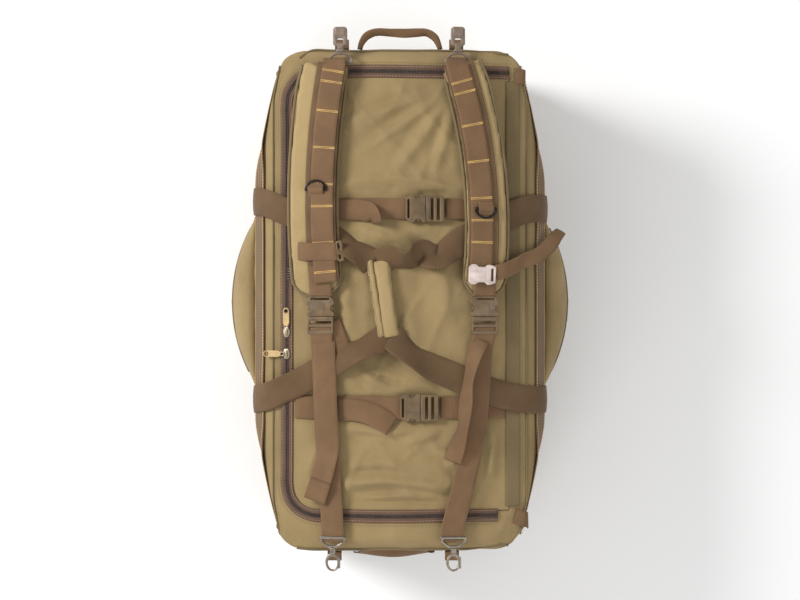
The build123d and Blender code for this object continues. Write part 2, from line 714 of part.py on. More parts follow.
# Carry handles: two legs from the girth webbing to a grip by the middle of the lid
GRIP_Y = -26
LEG_ROUTE = {
    "left": [(GIRTH_X[0] + 2, -246), (-118, -132), (-60, GRIP_Y), (56, GRIP_Y), (112, -132), (GIRTH_X[1] - 4, -246)],
    "right": [(-132, 176), (-104, 108), (-60, GRIP_Y), (56, GRIP_Y), (104, 110), (134, 176)],
}
WRAP_X0, WRAP_X1, WRAP_HALF_W = -66, 62, 21
with BuildPart() as carry_handle_left:
    with BuildSketch(Plane.XY.offset(262)):
        add(plan_band(LEG_ROUTE["left"], HANDLE_WEB))
        add(plan_box(WRAP_X0 - 1, WRAP_X1 + 1, GRIP_Y - 60, GRIP_Y + 90), mode=Mode.SUBTRACT)
        add(plan_box(-400, 400, GRIP_Y - 0.5, 300), mode=Mode.SUBTRACT)
    extrude(amount=200, dir=(0, 0, 1))
    add(body_volume(-HANDLE_LOW - WEB_T), mode=Mode.INTERSECT)
    add(body_volume(-HANDLE_LOW), mode=Mode.SUBTRACT)
save(carry_handle_left.part, "carry_handle_left")

with BuildSketch() as right_legs:
    add(plan_band(LEG_ROUTE["right"], HANDLE_WEB))
    add(plan_box(WRAP_X0 - 1, WRAP_X1 + 1, GRIP_Y - 60, GRIP_Y + 60), mode=Mode.SUBTRACT)
    add(plan_box(-400, 400, -200, GRIP_Y + 0.5), mode=Mode.SUBTRACT)
    add(plan_box(-400, 400, 176, 300), mode=Mode.SUBTRACT)
save(crown_sheet(right_legs.sketch, HANDLE_LOW, WEB_T), "carry_handle_right")

with BuildPart() as handle_wrap:
    with BuildSketch(crown_plane((WRAP_X0 + WRAP_X1) / 2, GRIP_Y, 4)):
        RectangleRounded(WRAP_X1 - WRAP_X0, 2 * WRAP_HALF_W, 6)
    extrude(amount=14)
save(handle_wrap.part, "handle_wrap")

# ---------------------------------------------------------------- shoulder harness
PAD_ROUTE = {
    "left": ((-376, -112), (-200, -130), (-48, -126)),
    "right": ((-376, 98), (-200, 133), (-48, 134)),
}
WEB_ROUTE = {
    "left": [(30, -125), (399, FOOT_HOOK_Y["left"])],
    "right": [(30, 136), (200, 122), (399, FOOT_HOOK_Y["right"])],
}
JOIN_X = 26


def band_along(route, width):
    """Plan outline of a band along a three-point arc."""
    with BuildSketch() as outline:
        with BuildLine():
            ThreePointArc(*route)
        trace(line_width=width)
    return outline.sketch


for side in STRAP_Y:
    route = PAD_ROUTE[side]
    with BuildLine() as pad_line:
        ThreePointArc(*route)
    with BuildSketch() as pad_outline:
        SlotArc(pad_line.wire(), PAD_W)
        add(plan_box(-384, 0, -300, 300), mode=Mode.INTERSECT)
    save(crown_sheet(pad_outline.sketch, PAD_LOW, PAD_T), f"shoulder_pad_{side}")
    with BuildPart() as strap_webbing:
        add(crown_sheet(band_along(route, 52), BAND_LOW, 1.6))
        add(crown_sheet(band_along(route, WEB), OVERLAY_LOW, WEB_T))
        add(crown_sheet(plan_band(WEB_ROUTE[side], WEB), WEBBING_LOW, WEB_T))
    save(strap_webbing.part, f"strap_webbing_{side}")

    buckle_y = route[2][1]
    joint = buckle_plane(JOIN_X, buckle_y, True, BUCKLE_LOW)
    save(buckle_female(joint), f"strap_buckle_female_{side}")
    save(buckle_male(joint), f"strap_buckle_male_{side}")

    # D-ring lying on the overlay: the bar across the strap, the bow along it
    ring_x, ring_y, bow = (-176, route[1][1] - 1, -1) if side == "left" else (-150, route[1][1] + 1, 1)
    with BuildPart() as d_ring:
        with BuildSketch(crown_plane(ring_x, ring_y, OVERLAY_LOW + WEB_T + RING_GAP)):
            Circle(19)
            Circle(15.5, mode=Mode.SUBTRACT)
            with Locations((bow * 20, 0)):
                Rectangle(40, 60, mode=Mode.INTERSECT)
            with Locations((bow * 1.75, 0)):
                Rectangle(3.5, 38)
        extrude(amount=3.2)
    save(d_ring.part, f"d_ring_{side}")

    # Sternum strap half: a band over the pad with a buckle half at its inner end
    sternum_x = -78 if side == "left" else -40
    inner = 1 if side == "left" else -1
    pad_y = -128 if side == "left" else 134
    with BuildPart() as sternum:
        low_y, high_y = sorted((pad_y - inner * 36, pad_y + inner * 30))
        add(crown_sheet(plan_box(sternum_x - 13, sternum_x + 13, low_y, high_y), STERNUM_LOW, WEB_T))
        with BuildSketch(crown_plane(sternum_x, pad_y + inner * 33, STERNUM_LOW - 0.5)):
            RectangleRounded(30, 12, 2)
        extrude(amount=5)
    save(sternum.part, f"sternum_strap_{side}")

HOOK_HEIGHT = 15
HOOK_T = 5


def swivel_hook(x, y, outward):
    """Swivel snap: a neck along X, then a rounded ring with a gate."""
    with BuildPart() as hook:
        with BuildSketch(crown_plane(x, y, HOOK_HEIGHT).offset(-HOOK_T / 2)) as ring:
            with Locations((outward * 5, 0)):
                Rectangle(12, 8)
            with Locations((outward * 24, 0)):
                Ellipse(16, 13)
            with Locations((outward * 25, 0)):
                Ellipse(10.5, 8, mode=Mode.SUBTRACT)
        extrude(amount=HOOK_T)
    return hook.part


def hook_ladder(x, y, outward, low):
    """The hook's ladder loop, which holds the end of the webbing."""
    with BuildPart() as ladder:
        with BuildSketch(crown_plane(x - outward * 9, y, low)):
            RectangleRounded(15, WEB + 6, 3)
            with Locations((-outward * 1, 0)):
                Rectangle(6, WEB, mode=Mode.SUBTRACT)
        extrude(amount=5)
    return ladder.part


HEAD_HOOK_X, FOOT_HOOK_X = -403, 403
for side in STRAP_Y:
    save(swivel_hook(HEAD_HOOK_X, HEAD_HOOK_Y[side], -1), f"head_hook_{side}")
    save(swivel_hook(FOOT_HOOK_X, FOOT_HOOK_Y[side], 1), f"foot_hook_{side}")
with BuildPart() as hook_ladders_left:
    add(hook_ladder(HEAD_HOOK_X, HEAD_HOOK_Y["left"], -1, HOOK_HEIGHT - 2.5))
    add(hook_ladder(FOOT_HOOK_X, FOOT_HOOK_Y["left"], 1, HOOK_HEIGHT - 2.5))
save(hook_ladders_left.part, "hook_ladders_left")
with BuildPart() as hook_ladders_right:
    add(hook_ladder(HEAD_HOOK_X, HEAD_HOOK_Y["right"], -1, HOOK_HEIGHT - 2.5))
    add(hook_ladder(FOOT_HOOK_X, FOOT_HOOK_Y["right"], 1, HOOK_HEIGHT - 2.5))
save(hook_ladders_right.part, "hook_ladders_right")

print("pocket axis", round(POCKET_MID_X, 3), round(POCKET_AXIS_Y, 3), "radius", round(POCKET_R, 3))
for place in CROSS_X:
    y = CROSS_BUCKLE_Y[place] + FEMALE_LENGTH
    print("release tilt", place, round(degrees(asin(y / CROWN_R)), 3))
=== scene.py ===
from math import atan2, ceil, cos, hypot, pi, radians, sin, sqrt

import bmesh
import bpy
import numpy as np
from mathutils import Matrix, Vector, noise


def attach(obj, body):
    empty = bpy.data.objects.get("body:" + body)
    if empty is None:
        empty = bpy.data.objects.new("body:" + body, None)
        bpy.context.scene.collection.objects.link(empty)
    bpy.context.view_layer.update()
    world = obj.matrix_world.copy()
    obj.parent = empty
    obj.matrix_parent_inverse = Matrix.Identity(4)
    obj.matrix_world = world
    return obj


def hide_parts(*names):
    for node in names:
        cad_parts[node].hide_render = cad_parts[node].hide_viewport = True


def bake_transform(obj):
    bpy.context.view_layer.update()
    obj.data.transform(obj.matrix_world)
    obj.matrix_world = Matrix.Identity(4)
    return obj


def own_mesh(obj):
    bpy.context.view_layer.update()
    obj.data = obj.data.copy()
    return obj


# Rolling duffel bag. Shapes are worked out in millimetres and turned into metres when a mesh is made.
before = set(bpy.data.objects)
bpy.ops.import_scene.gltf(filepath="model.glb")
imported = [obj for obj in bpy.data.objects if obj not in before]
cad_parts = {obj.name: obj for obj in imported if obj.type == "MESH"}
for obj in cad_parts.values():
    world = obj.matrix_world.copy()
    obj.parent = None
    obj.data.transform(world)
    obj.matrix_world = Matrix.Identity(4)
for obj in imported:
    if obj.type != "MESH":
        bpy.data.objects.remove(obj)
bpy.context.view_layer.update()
MM = 0.001

# ---------------------------------------------------------------- the bag's main shape, as in the CAD
HALF_LENGTH, BASE_Z = 407.0, 14.0
CROWN_R, CROWN_AXIS_Z = 747.3636, -397.3636
EAVES = (238.0, 275.0)
SHOULDER = (200.0, 322.73)
CORNER_X, CORNER_Z, CORNER_R = 338.0, 79.0, 69.0
PLAN_CORNER = 45.0
BEVEL_Z = 333.0
LID_X0, LID_X1, LID_Y0, LID_Y1, LID_CORNER = -363.5, 343.5, -177.5, 179.6, 42.0
WHEEL_Y = (-142.0, 0.0, 142.0)
SIDES = {"left": -1, "right": 1}
ENDS = {"head": -1, "wheel": 1}
GIRTH_X = {"head": -166, "wheel": 171}
POCKET_MID = 2.5
SEAM_X, SEAM_BACK = 371.0, 36.0  # corner seams: from the middle, and back from the wheel end's outline
EDGE_WEBBING_Z = 295
SOFTNESS = 5.0  # how gently the sides run into the narrower ends


def circle_through(a, b, c):
    """Centre and radius of the circle through three points of a plane."""
    (ax, ay), (bx, by), (cx, cy) = a, b, c
    d = 2 * (ax * (by - cy) + bx * (cy - ay) + cx * (ay - by))
    ux = ((ax**2 + ay**2) * (by - cy) + (bx**2 + by**2) * (cy - ay) + (cx**2 + cy**2) * (ay - by)) / d
    uy = ((ax**2 + ay**2) * (cx - bx) + (bx**2 + by**2) * (ax - cx) + (cx**2 + cy**2) * (bx - ax)) / d
    return ux, uy, hypot(ax - ux, ay - uy)


# Arcs of the side, of the eaves and of the bag seen from above
SIDE_ARC = circle_through((195, BASE_Z), (254, 150), EAVES)
EAVES_ARC = circle_through(EAVES, (227, 303), SHOULDER)
PLAN_ARC = circle_through((-HALF_LENGTH, 190), (0, 250), (HALF_LENGTH, 190))


def smooth_min(a, b, k):
    """The smaller of two values, rounded off over k where they meet."""
    h = np.clip(0.5 + 0.5 * (b - a) / k, 0, 1)
    return b * (1 - h) + a * h - k * h * (1 - h)


def smooth_step(a, b, t):
    """0 at a and 1 at b, with a smooth run between."""
    t = np.clip((t - a) / (b - a), 0, 1)
    return t * t * (3 - 2 * t)


def plan_half_width(x):
    cx, cy, r = PLAN_ARC
    return cy + np.sqrt(r * r - (x - cx) ** 2)


def side_y(z):
    """Half-width of the middle section at a height."""
    z = np.asarray(z, float)
    low = SIDE_ARC[0] + np.sqrt(np.maximum(SIDE_ARC[2] ** 2 - (z - SIDE_ARC[1]) ** 2, 0))
    high = EAVES_ARC[0] + np.sqrt(np.maximum(EAVES_ARC[2] ** 2 - (z - EAVES_ARC[1]) ** 2, 0))
    return np.where(z < EAVES[1], low, high)


def distances(points):
    """Distance along a line at each of its points."""
    steps = np.linalg.norm(np.diff(points, axis=0), axis=1)
    return np.concatenate([[0], np.cumsum(steps)])


def crown_z(y, height=0.0):
    """Height of the crown at y, or of a surface that lies at a height over it."""
    return CROWN_AXIS_Z + np.sqrt((CROWN_R + height) ** 2 - np.asarray(y, float) ** 2)


def on_crown(x, y, height=0.0):
    """A point over the crown at (x, y), raised along the crown's normal."""
    tilt = np.arcsin(np.asarray(y, float) / CROWN_R)
    reach = CROWN_R + height
    return np.stack([x + 0 * tilt, reach * np.sin(tilt), CROWN_AXIS_Z + reach * np.cos(tilt)], -1)


def crown_up(y):
    """The crown's normal at y."""
    tilt = np.arcsin(np.asarray(y, float) / CROWN_R)
    return np.stack([0 * tilt, np.sin(tilt), np.cos(tilt)], -1)


# Half of the middle section, from the crown's middle down to the base edge
crown_ys = np.linspace(0, SHOULDER[0], 90)
side_zs = np.linspace(SHOULDER[1], BASE_Z, 170)[1:]
SECTION = np.concatenate([
    np.stack([crown_ys, crown_z(crown_ys)], -1), np.stack([side_y(side_zs), side_zs], -1),
])


def rib(x, side, run, lift=0.0):
    """Points of the bag's skin at length x, at distances run from the middle of the crown; with normals."""
    y = smooth_min(SECTION[:, 0], plan_half_width(x), SOFTNESS)
    z = SECTION[:, 1]
    length = distances(np.stack([y, z], -1))
    run = np.asarray(run, float)
    at = np.stack([np.interp(run, length, y), np.interp(run, length, z)], -1)
    ahead = np.stack([np.interp(run + 3, length, y), np.interp(run + 3, length, z)], -1)
    back = np.stack([np.interp(run - 3, length, y), np.interp(run - 3, length, z)], -1)
    t = ahead - back
    t /= np.maximum(np.linalg.norm(t, axis=-1, keepdims=True), 1e-6)
    n = np.stack([-t[..., 1], t[..., 0]], -1)
    p = at + n * lift
    ones = np.ones(p.shape[:-1])
    return (
        np.stack([x * ones, side * p[..., 0], p[..., 1]], -1),
        np.stack([0 * ones, side * n[..., 0], n[..., 1]], -1),
    )


def run_to_height(x, z):
    """Distance along the skin from the crown's middle to a height on the side."""
    y = smooth_min(SECTION[:, 0], plan_half_width(x), SOFTNESS)
    length = distances(np.stack([y, SECTION[:, 1]], -1))
    return float(np.interp(-z, -SECTION[:, 1], length))


# ---------------------------------------------------------------- mesh tools
def linked(name, data):
    """A new object in the scene."""
    obj = bpy.data.objects.new(name, data)
    bpy.context.scene.collection.objects.link(obj)
    return obj


def smoothed(mesh, crisp=False):
    """Smooth faces, with sharp edges kept on moulded parts."""
    mesh.polygons.foreach_set("use_smooth", [True] * len(mesh.polygons))
    if crisp:
        mesh.set_sharp_from_angle(angle=radians(40))


def unit(v):
    """Vectors at length one."""
    return v / np.maximum(np.linalg.norm(v, axis=-1, keepdims=True), 1e-9)


def noise_at(points, scale, seed=0.0, octaves=3):
    """Fractal noise of points in millimetres; scale is the feature size, one number or three."""
    q = points.reshape(-1, 3) / np.asarray(scale, float) + seed * 13.7
    values = [noise.fractal(Vector(p), 0.9, 2.0, octaves) for p in q]
    return np.array(values).reshape(points.shape[:-1])


def creases(points, scale, seed, power=5):
    """A net of sharp ridges, 0 to 1."""
    q = points.reshape(-1, 3) / np.asarray(scale, float) + seed * 7.9
    values = [noise.noise(Vector(p)) for p in q]
    return (1 - np.minimum(np.abs(np.array(values)) * 1.6, 1)).reshape(points.shape[:-1]) ** power


def turned_plan(points, angle):
    """Points turned about the vertical, for noise that runs diagonally."""
    c, s = cos(radians(angle)), sin(radians(angle))
    x, y = points[..., 0] * c + points[..., 1] * s, points[..., 1] * c - points[..., 0] * s
    return np.stack([x, y, points[..., 2]], -1)


def make(name, points, faces, material, body, uv=None, replaces=(), slot=None):
    """A mesh piece from points in millimetres, riding on a body."""
    mesh = bpy.data.meshes.new(name)
    points = np.asarray(points, float).reshape(-1, 3)
    mesh.from_pydata((points * MM).tolist(), [], [list(map(int, f)) for f in faces])
    mesh.update()
    if uv is not None:
        layer = mesh.uv_layers.new(name="cloth")
        loops = np.zeros(len(mesh.loops), np.int32)
        mesh.loops.foreach_get("vertex_index", loops)
        layer.data.foreach_set("uv", (np.asarray(uv, float).reshape(-1, 2)[loops] * MM).ravel())
    smoothed(mesh)
    return dress(linked(name, mesh), material, body, replaces)


def dress(obj, material, body, replaces=()):
    """Gives a piece its material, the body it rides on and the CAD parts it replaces."""
    obj.data.materials.clear()
    obj.data.materials.append(material)
    if body:
        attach(obj, body)
    if replaces:
        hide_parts(*([replaces] if isinstance(replaces, str) else replaces))
    return obj


def grid_normals(p, closed_u=False):
    if closed_u:
        du = np.roll(p, -1, 0) - np.roll(p, 1, 0)
    else:
        du = np.gradient(p, axis=0)
    dv = np.gradient(p, axis=1)
    return unit(np.cross(du, dv))


def sheet_faces(nu, nv, closed_u=False, kept=None):
    """Quads of a grid and the rim edges around them, as index arrays into one layer."""
    cols = nu if closed_u else nu - 1
    faces, rim = [], []
    if kept is None:
        kept = np.ones((cols, nv - 1), bool)
    for i in range(cols):
        i2 = (i + 1) % nu
        for j in range(nv - 1):
            if not kept[i, j]:
                continue
            a, b, c, d = i * nv + j, i2 * nv + j, i2 * nv + j + 1, i * nv + j + 1
            faces.append((a, b, c, d))
            before = (i - 1) % cols if closed_u else i - 1
            after = (i + 1) % cols if closed_u else i + 1
            if j == 0 or not kept[i, j - 1]:
                rim.append((a, b))
            if after == cols or not kept[after % cols, j]:
                rim.append((b, c))
            if j == nv - 2 or not kept[i, j + 1]:
                rim.append((c, d))
            if before < 0 or not kept[before, j]:
                rim.append((d, a))
    return faces, rim


def skin(name, p, thickness, material, body, uv, closed_u=False, kept=None, normals=None, **more):
    """A sheet of cloth with thickness from a grid of outer points; inner points go against the normals."""
    nu, nv = p.shape[:2]
    n = grid_normals(p, closed_u) if normals is None else normals
    faces, rim = sheet_faces(nu, nv, closed_u, kept)
    total = nu * nv
    both = list(faces) + [tuple(total + k for k in reversed(f)) for f in faces]
    both += [(b, a, total + a, total + b) for a, b in rim]
    points = np.concatenate([p.reshape(-1, 3), (p - n * thickness).reshape(-1, 3)])
    uvs = np.concatenate([uv.reshape(-1, 2)] * 2)
    used = sorted({k for f in both for k in f})
    where = {k: i for i, k in enumerate(used)}
    return make(
        name, points[used], [[where[k] for k in f] for f in both], material, body, uvs[used], **more
    )


def resample(points, step):
    """A smooth line through control points, at about equal steps; extra columns are carried along."""
    p = np.asarray(points, float)
    if len(p) == 2:
        dense = p[0] + (p[1] - p[0]) * np.linspace(0, 1, 40)[:, None]
    else:
        q = np.concatenate([[2 * p[0] - p[1]], p, [2 * p[-1] - p[-2]]])
        dense = []
        for a, b, c, d in zip(q, q[1:], q[2:], q[3:]):
            for t in np.linspace(0, 1, 24, endpoint=False):
                dense.append(
                    0.5 * (2 * b + (c - a) * t + (2 * a - 5 * b + 4 * c - d) * t * t
                           + (3 * b - a - 3 * c + d) * t**3)
                )
        dense = np.array(dense + [p[-1]])
    length = distances(dense[:, :3])
    count = max(3, int(ceil(length[-1] / step)) + 1)
    at = np.linspace(0, length[-1], count)
    return np.stack([np.interp(at, length, dense[:, k]) for k in range(dense.shape[1])], -1)


def sweep(name, path, across, up, section, material, body, closed=False, width=None, **more):
    """Sweeps a closed section along a path; section rows are (across, up) in millimetres."""
    n, m = len(path), len(section)
    width = np.ones(n) if width is None else np.asarray(width, float)
    ring = (
        path[:, None] + across[:, None] * section[None, :, :1] * width[:, None, None]
        + up[:, None] * section[None, :, 1:2]
    )
    length = distances(path)
    uv = np.stack([
        np.broadcast_to(length[:, None], (n, m)),
        np.broadcast_to(section[None, :, 0], (n, m)),
    ], -1)
    faces = []
    for i in range(n if closed else n - 1):
        i2 = (i + 1) % n
        for j in range(m):
            j2 = (j + 1) % m
            faces.append((i * m + j, i2 * m + j, i2 * m + j2, i * m + j2))
    if not closed:
        faces.append(tuple(range(m)))
        faces.append(tuple((n - 1) * m + k for k in reversed(range(m))))
    return make(name, ring, faces, material, body, uv, **more)


def flat_section(width, thickness, arch=0.0, steps=10):
    """Webbing's section: flat, with soft edges, arched upwards in the middle if asked."""
    a = np.linspace(-width / 2 + 0.5, width / 2 - 0.5, steps)
    lift = arch * (1 - (2 * a / width) ** 2)
    top = np.stack([a, lift + thickness / 2], -1)
    low = np.stack([a, lift - thickness / 2], -1)
    return np.concatenate([top, [[width / 2, 0]], low[::-1], [[-width / 2, 0]]])


def round_section(radius, steps=10):
    t = np.linspace(0, 2 * pi, steps, endpoint=False)
    return np.stack([radius * np.cos(t), radius * np.sin(t)], -1)


def path_frame(path, up, closed=False):
    """Unit vectors across a path and truly up from it."""
    t = unit(np.roll(path, -1, 0) - np.roll(path, 1, 0) if closed else np.gradient(path, axis=0))
    across = unit(np.cross(up, t))
    return across, unit(np.cross(t, across))


def ribbon(name, path, up, width, material, body, thickness=1.6, roll=None, arch=0.0, narrow=None, **more):
    """Webbing along a path. roll turns it about its run, in degrees at each point."""
    across, true_up = path_frame(path, up)
    if roll is not None:
        r = np.radians(roll)[:, None]
        across, true_up = (
            across * np.cos(r) + true_up * np.sin(r), true_up * np.cos(r) - across * np.sin(r)
        )
    return sweep(
        name, path, across, true_up, flat_section(width, thickness, arch), material, body,
        width=narrow, **more
    )


def capsules(name, centres, along, up, length, radius, material, body, width=None, **more):
    """Many small rounded bars in one mesh: stitches, zip teeth."""
    centres, along, up = (np.asarray(v, float).reshape(-1, 3) for v in (centres, along, up))
    along = unit(along)
    across = unit(np.cross(up, along))
    up = np.cross(along, across)
    width = radius if width is None else width
    rings = ((-0.5, 0.35), (-0.34, 1.0), (0.34, 1.0), (0.5, 0.35))
    sides = 6
    points = []
    for t, k in rings:
        for j in range(sides):
            a = 2 * pi * j / sides
            points.append(
                centres + along * (t * length) + across * (k * width * cos(a)) + up * (k * radius * sin(a))
            )
    points = np.stack(points, 1)
    faces = []
    for i in range(3):
        for j in range(sides):
            j2 = (j + 1) % sides
            faces.append((i * sides + j, i * sides + j2, (i + 1) * sides + j2, (i + 1) * sides + j))
    faces.append(tuple(reversed(range(sides))))
    faces.append(tuple(range(3 * sides, 4 * sides)))
    count = sides * 4
    every = [tuple(k * count + f for f in face) for k in range(len(centres)) for face in faces]
    return make(name, points, every, material, body, np.zeros((points.size // 3, 2)), **more)


class Stitching:
    """Collects seams, and makes one mesh of thread per body."""

    def __init__(self):
        self.rows = {}

    def seam(self, body, path, up, length=3.4, gap=1.6, raised=0.25):
        fine = resample(path, length + gap)
        u = np.stack([np.interp(
            np.linspace(0, 1, len(fine)), np.linspace(0, 1, len(up)), np.asarray(up)[:, k]
        ) for k in range(3)], -1)
        middle = (fine[1:] + fine[:-1]) / 2
        rows = self.rows.setdefault(body, [[], [], []])
        rows[0].append(middle + u[1:] * raised)
        rows[1].append(fine[1:] - fine[:-1])
        rows[2].append(u[1:])

    def make(self, prefix, length, radius, material, slot):
        for body, (c, a, u) in self.rows.items():
            capsules(
                f"{prefix}_{body}", np.concatenate(c), np.concatenate(a), np.concatenate(u),
                length, radius, material, body, slot=slot
            )


def plate(name, outline, holes, thickness, bevel, place, material):
    """A moulded plate with rounded edges: an outline with holes, in the local plane of a matrix."""
    curve = bpy.data.curves.new(name, "CURVE")
    curve.dimensions = "2D"
    curve.fill_mode = "BOTH"
    curve.extrude = (thickness / 2 - bevel) * MM
    curve.bevel_depth = bevel * MM
    curve.bevel_resolution = 2
    curve.offset = -bevel * MM
    for ring in [outline, *holes]:
        spline = curve.splines.new("POLY")
        spline.points.add(len(ring) - 1)
        for point, (x, y) in zip(spline.points, ring):
            point.co = (x * MM, y * MM, 0, 1)
        spline.use_cyclic_u = True
    holder = linked(name + "_curve", curve)
    bpy.context.view_layer.update()
    mesh = bpy.data.meshes.new_from_object(holder.evaluated_get(bpy.context.evaluated_depsgraph_get()))
    bpy.data.objects.remove(holder)
    edit = bmesh.new()
    edit.from_mesh(mesh)
    bmesh.ops.remove_doubles(edit, verts=edit.verts, dist=1e-6)
    bmesh.ops.dissolve_degenerate(edit, edges=edit.edges, dist=1e-7)
    bmesh.ops.recalc_face_normals(edit, faces=edit.faces)
    edit.to_mesh(mesh)
    edit.free()
    mesh.name = name
    mesh.transform(place)
    smoothed(mesh, crisp=True)
    return dress(linked(name, mesh), material, None)


def joined(name, parts, body, replaces=()):
    """Several pieces made one mesh, riding on a body."""
    edit = bmesh.new()
    for part in parts:
        edit.from_mesh(part.data)
    mesh = bpy.data.meshes.new(name)
    edit.to_mesh(mesh)
    edit.free()
    smoothed(mesh, crisp=True)
    material = parts[0].data.materials[0]
    for part in parts:
        bpy.data.objects.remove(part)
    return dress(linked(name, mesh), material, body, replaces)


def rounded(corners, radius, steps=5):
    """A closed outline with its corners rounded; radius is one number or one for each corner."""
    radii = [radius] * len(corners) if np.isscalar(radius) else radius
    out = []
    for k, (corner, r) in enumerate(zip(corners, radii)):
        p = np.array(corner, float)
        a = np.array(corners[k - 1], float) - p
        b = np.array(corners[(k + 1) % len(corners)], float) - p
        la, lb = np.linalg.norm(a), np.linalg.norm(b)
        cut = min(r, la * 0.45, lb * 0.45)
        if cut < 0.05:
            out.append(tuple(p))
            continue
        s, e = p + a / la * cut, p + b / lb * cut
        for t in np.linspace(0, 1, steps):
            out.append(tuple((1 - t) ** 2 * s + 2 * t * (1 - t) * p + t * t * e))
    return out


def box_outline(x0, x1, y0, y1, radius, steps=5):
    return rounded([(x0, y0), (x1, y0), (x1, y1), (x0, y1)], radius, steps)


def crown_matrix(x, y, height, angle=0.0):
    """A local frame on the crown: x along the bag turned by angle, z away from the crown. Metres."""
    origin = Vector(on_crown(x, y, height) * MM)
    up = Vector(crown_up(y))
    ahead = Vector((1, 0, 0))
    side = up.cross(ahead)
    a = radians(angle)
    x_dir = ahead * cos(a) + side * sin(a)
    y_dir = side * cos(a) - ahead * sin(a)
    rotation = Matrix((x_dir, y_dir, up)).transposed().to_4x4()
    return Matrix.Translation(origin) @ rotation


def shifted(place, x=0.0, y=0.0, z=0.0):
    return place @ Matrix.Translation((x * MM, y * MM, z * MM))


# ---------------------------------------------------------------- materials
def srgb(r, g, b):
    """A colour of 0 to 255 as linear light."""
    out = []
    for c in (r, g, b):
        c /= 255
        out.append(c / 12.92 if c <= 0.04045 else ((c + 0.055) / 1.055) ** 2.4)
    return (*out, 1.0)


class Surface:
    """A material under construction."""

    def __init__(self, name, roughness, metallic=0.0, sheen=0.0, coat=0.0, specular=0.5):
        self.material = bpy.data.materials.new(name)
        self.material.use_nodes = True
        self.tree = self.material.node_tree
        self.tree.nodes.clear()
        self.shader = self.tree.nodes.new("ShaderNodeBsdfPrincipled")
        output = self.tree.nodes.new("ShaderNodeOutputMaterial")
        self.tree.links.new(self.shader.outputs[0], output.inputs[0])
        self.shader.inputs["Roughness"].default_value = roughness
        self.shader.inputs["Metallic"].default_value = metallic
        self.shader.inputs["Sheen Weight"].default_value = sheen
        self.shader.inputs["Coat Weight"].default_value = coat
        self.shader.inputs["Specular IOR Level"].default_value = specular
        coordinates = self.tree.nodes.new("ShaderNodeTexCoord")
        self.space = {"uv": coordinates.outputs["UV"], "object": coordinates.outputs["Object"]}
        self.normal = None

    def node(self, kind, inputs=(), **properties):
        made = self.tree.nodes.new("ShaderNode" + kind)
        for key, value in properties.items():
            setattr(made, key, value)
        for key, value in dict(inputs).items():
            if isinstance(value, bpy.types.NodeSocket):
                self.tree.links.new(value, made.inputs[key])
            else:
                made.inputs[key].default_value = value
        return made

    def noise(self, size, detail=3.0, space="object", stretch=None, rough=0.55):
        """Noise with features of about size millimetres, 0 to 1."""
        vector = self.space[space]
        if stretch:
            vector = self.node("Mapping", {"Vector": vector, "Scale": stretch}).outputs[0]
        return self.node(
            "TexNoise", {"Vector": vector, "Scale": 1 / (size * MM), "Detail": detail, "Roughness": rough}
        ).outputs[0]

    def bands(self, pitch, direction, space="uv", turn=0.0):
        """Rounded threads with a pitch in millimetres."""
        vector = self.space[space]
        if turn:
            vector = self.node("Mapping", {"Vector": vector, "Rotation": (0, 0, radians(turn))}).outputs[0]
        return self.node(
            "TexWave", {"Vector": vector, "Scale": pi / 10 / (pitch * MM), "Distortion": 0.0},
            bands_direction=direction,
        ).outputs["Fac"]

    def math(self, kind, a, b=0.0):
        return self.node("Math", {0: a, 1: b}, operation=kind).outputs[0]

    def mix(self, factor, a, b):
        made = self.node("Mix", {0: factor}, data_type="RGBA")
        for socket, value in ((made.inputs[6], a), (made.inputs[7], b)):
            if isinstance(value, bpy.types.NodeSocket):
                self.tree.links.new(value, socket)
            else:
                socket.default_value = value
        return made.outputs[2]

    def span(self, value, low, high, to_low=0.0, to_high=1.0):
        return self.node(
            "MapRange", {0: value, 1: low, 2: high, 3: to_low, 4: to_high}
        ).outputs[0]

    def bump(self, height, strength, depth):
        inputs = {"Height": height, "Strength": strength, "Distance": depth * MM}
        if self.normal is not None:
            inputs["Normal"] = self.normal
        self.normal = self.node("Bump", inputs).outputs[0]

    def done(self, colour, roughness=None):
        self.tree.links.new(colour, self.shader.inputs["Base Color"])
        if roughness is not None:
            self.tree.links.new(roughness, self.shader.inputs["Roughness"])
        if self.normal is not None:
            self.tree.links.new(self.normal, self.shader.inputs["Normal"])
        return self.material


def shade(colour, k):
    return (colour[0] * k, colour[1] * k, colour[2] * k, 1.0)


def cloth_material(name, colour, space="uv", pitch=0.9, wear=0.10):
    """Woven nylon: threads both ways with painted shade between them, faded patches, fine slubs and a little
    sheen.
    """
    s = Surface(name, 0.88, sheen=0.1, specular=0.2)
    warp, weft = s.bands(pitch, "X", space), s.bands(pitch, "Y", space)
    weave = s.math("MULTIPLY", s.math("ADD", warp, weft), 0.5)
    slub = s.noise(4.5, 3, space, (1, 7, 1))
    slub2 = s.noise(4.5, 3, space, (7, 1, 1))
    patch = s.noise(90, 4)
    grime = s.noise(26, 5)
    tone = s.mix(s.span(patch, 0.35, 0.65), shade(colour, 1 - wear), shade(colour, 1 + wear))
    tone = s.mix(s.span(grime, 0.5, 0.75, 0, 0.22), tone, shade(colour, 0.72))
    tone = s.mix(s.span(s.math("ADD", slub, slub2), 0.8, 1.2, 0, 0.34), tone, shade(colour, 1.3))
    # Painted shade: the hollows between the threads are darkened in the colour, following the weave's height
    tone = s.mix(s.span(weave, 0.1, 0.6, 0.34, 0), tone, shade(colour, 0.5))
    s.bump(weave, 0.35, 0.25)
    s.bump(s.noise(9, 4), 0.4, 1.1)
    s.bump(s.noise(34, 3), 0.4, 3.0)
    return s.done(tone, s.span(grime, 0.3, 0.7, 0.8, 0.92))


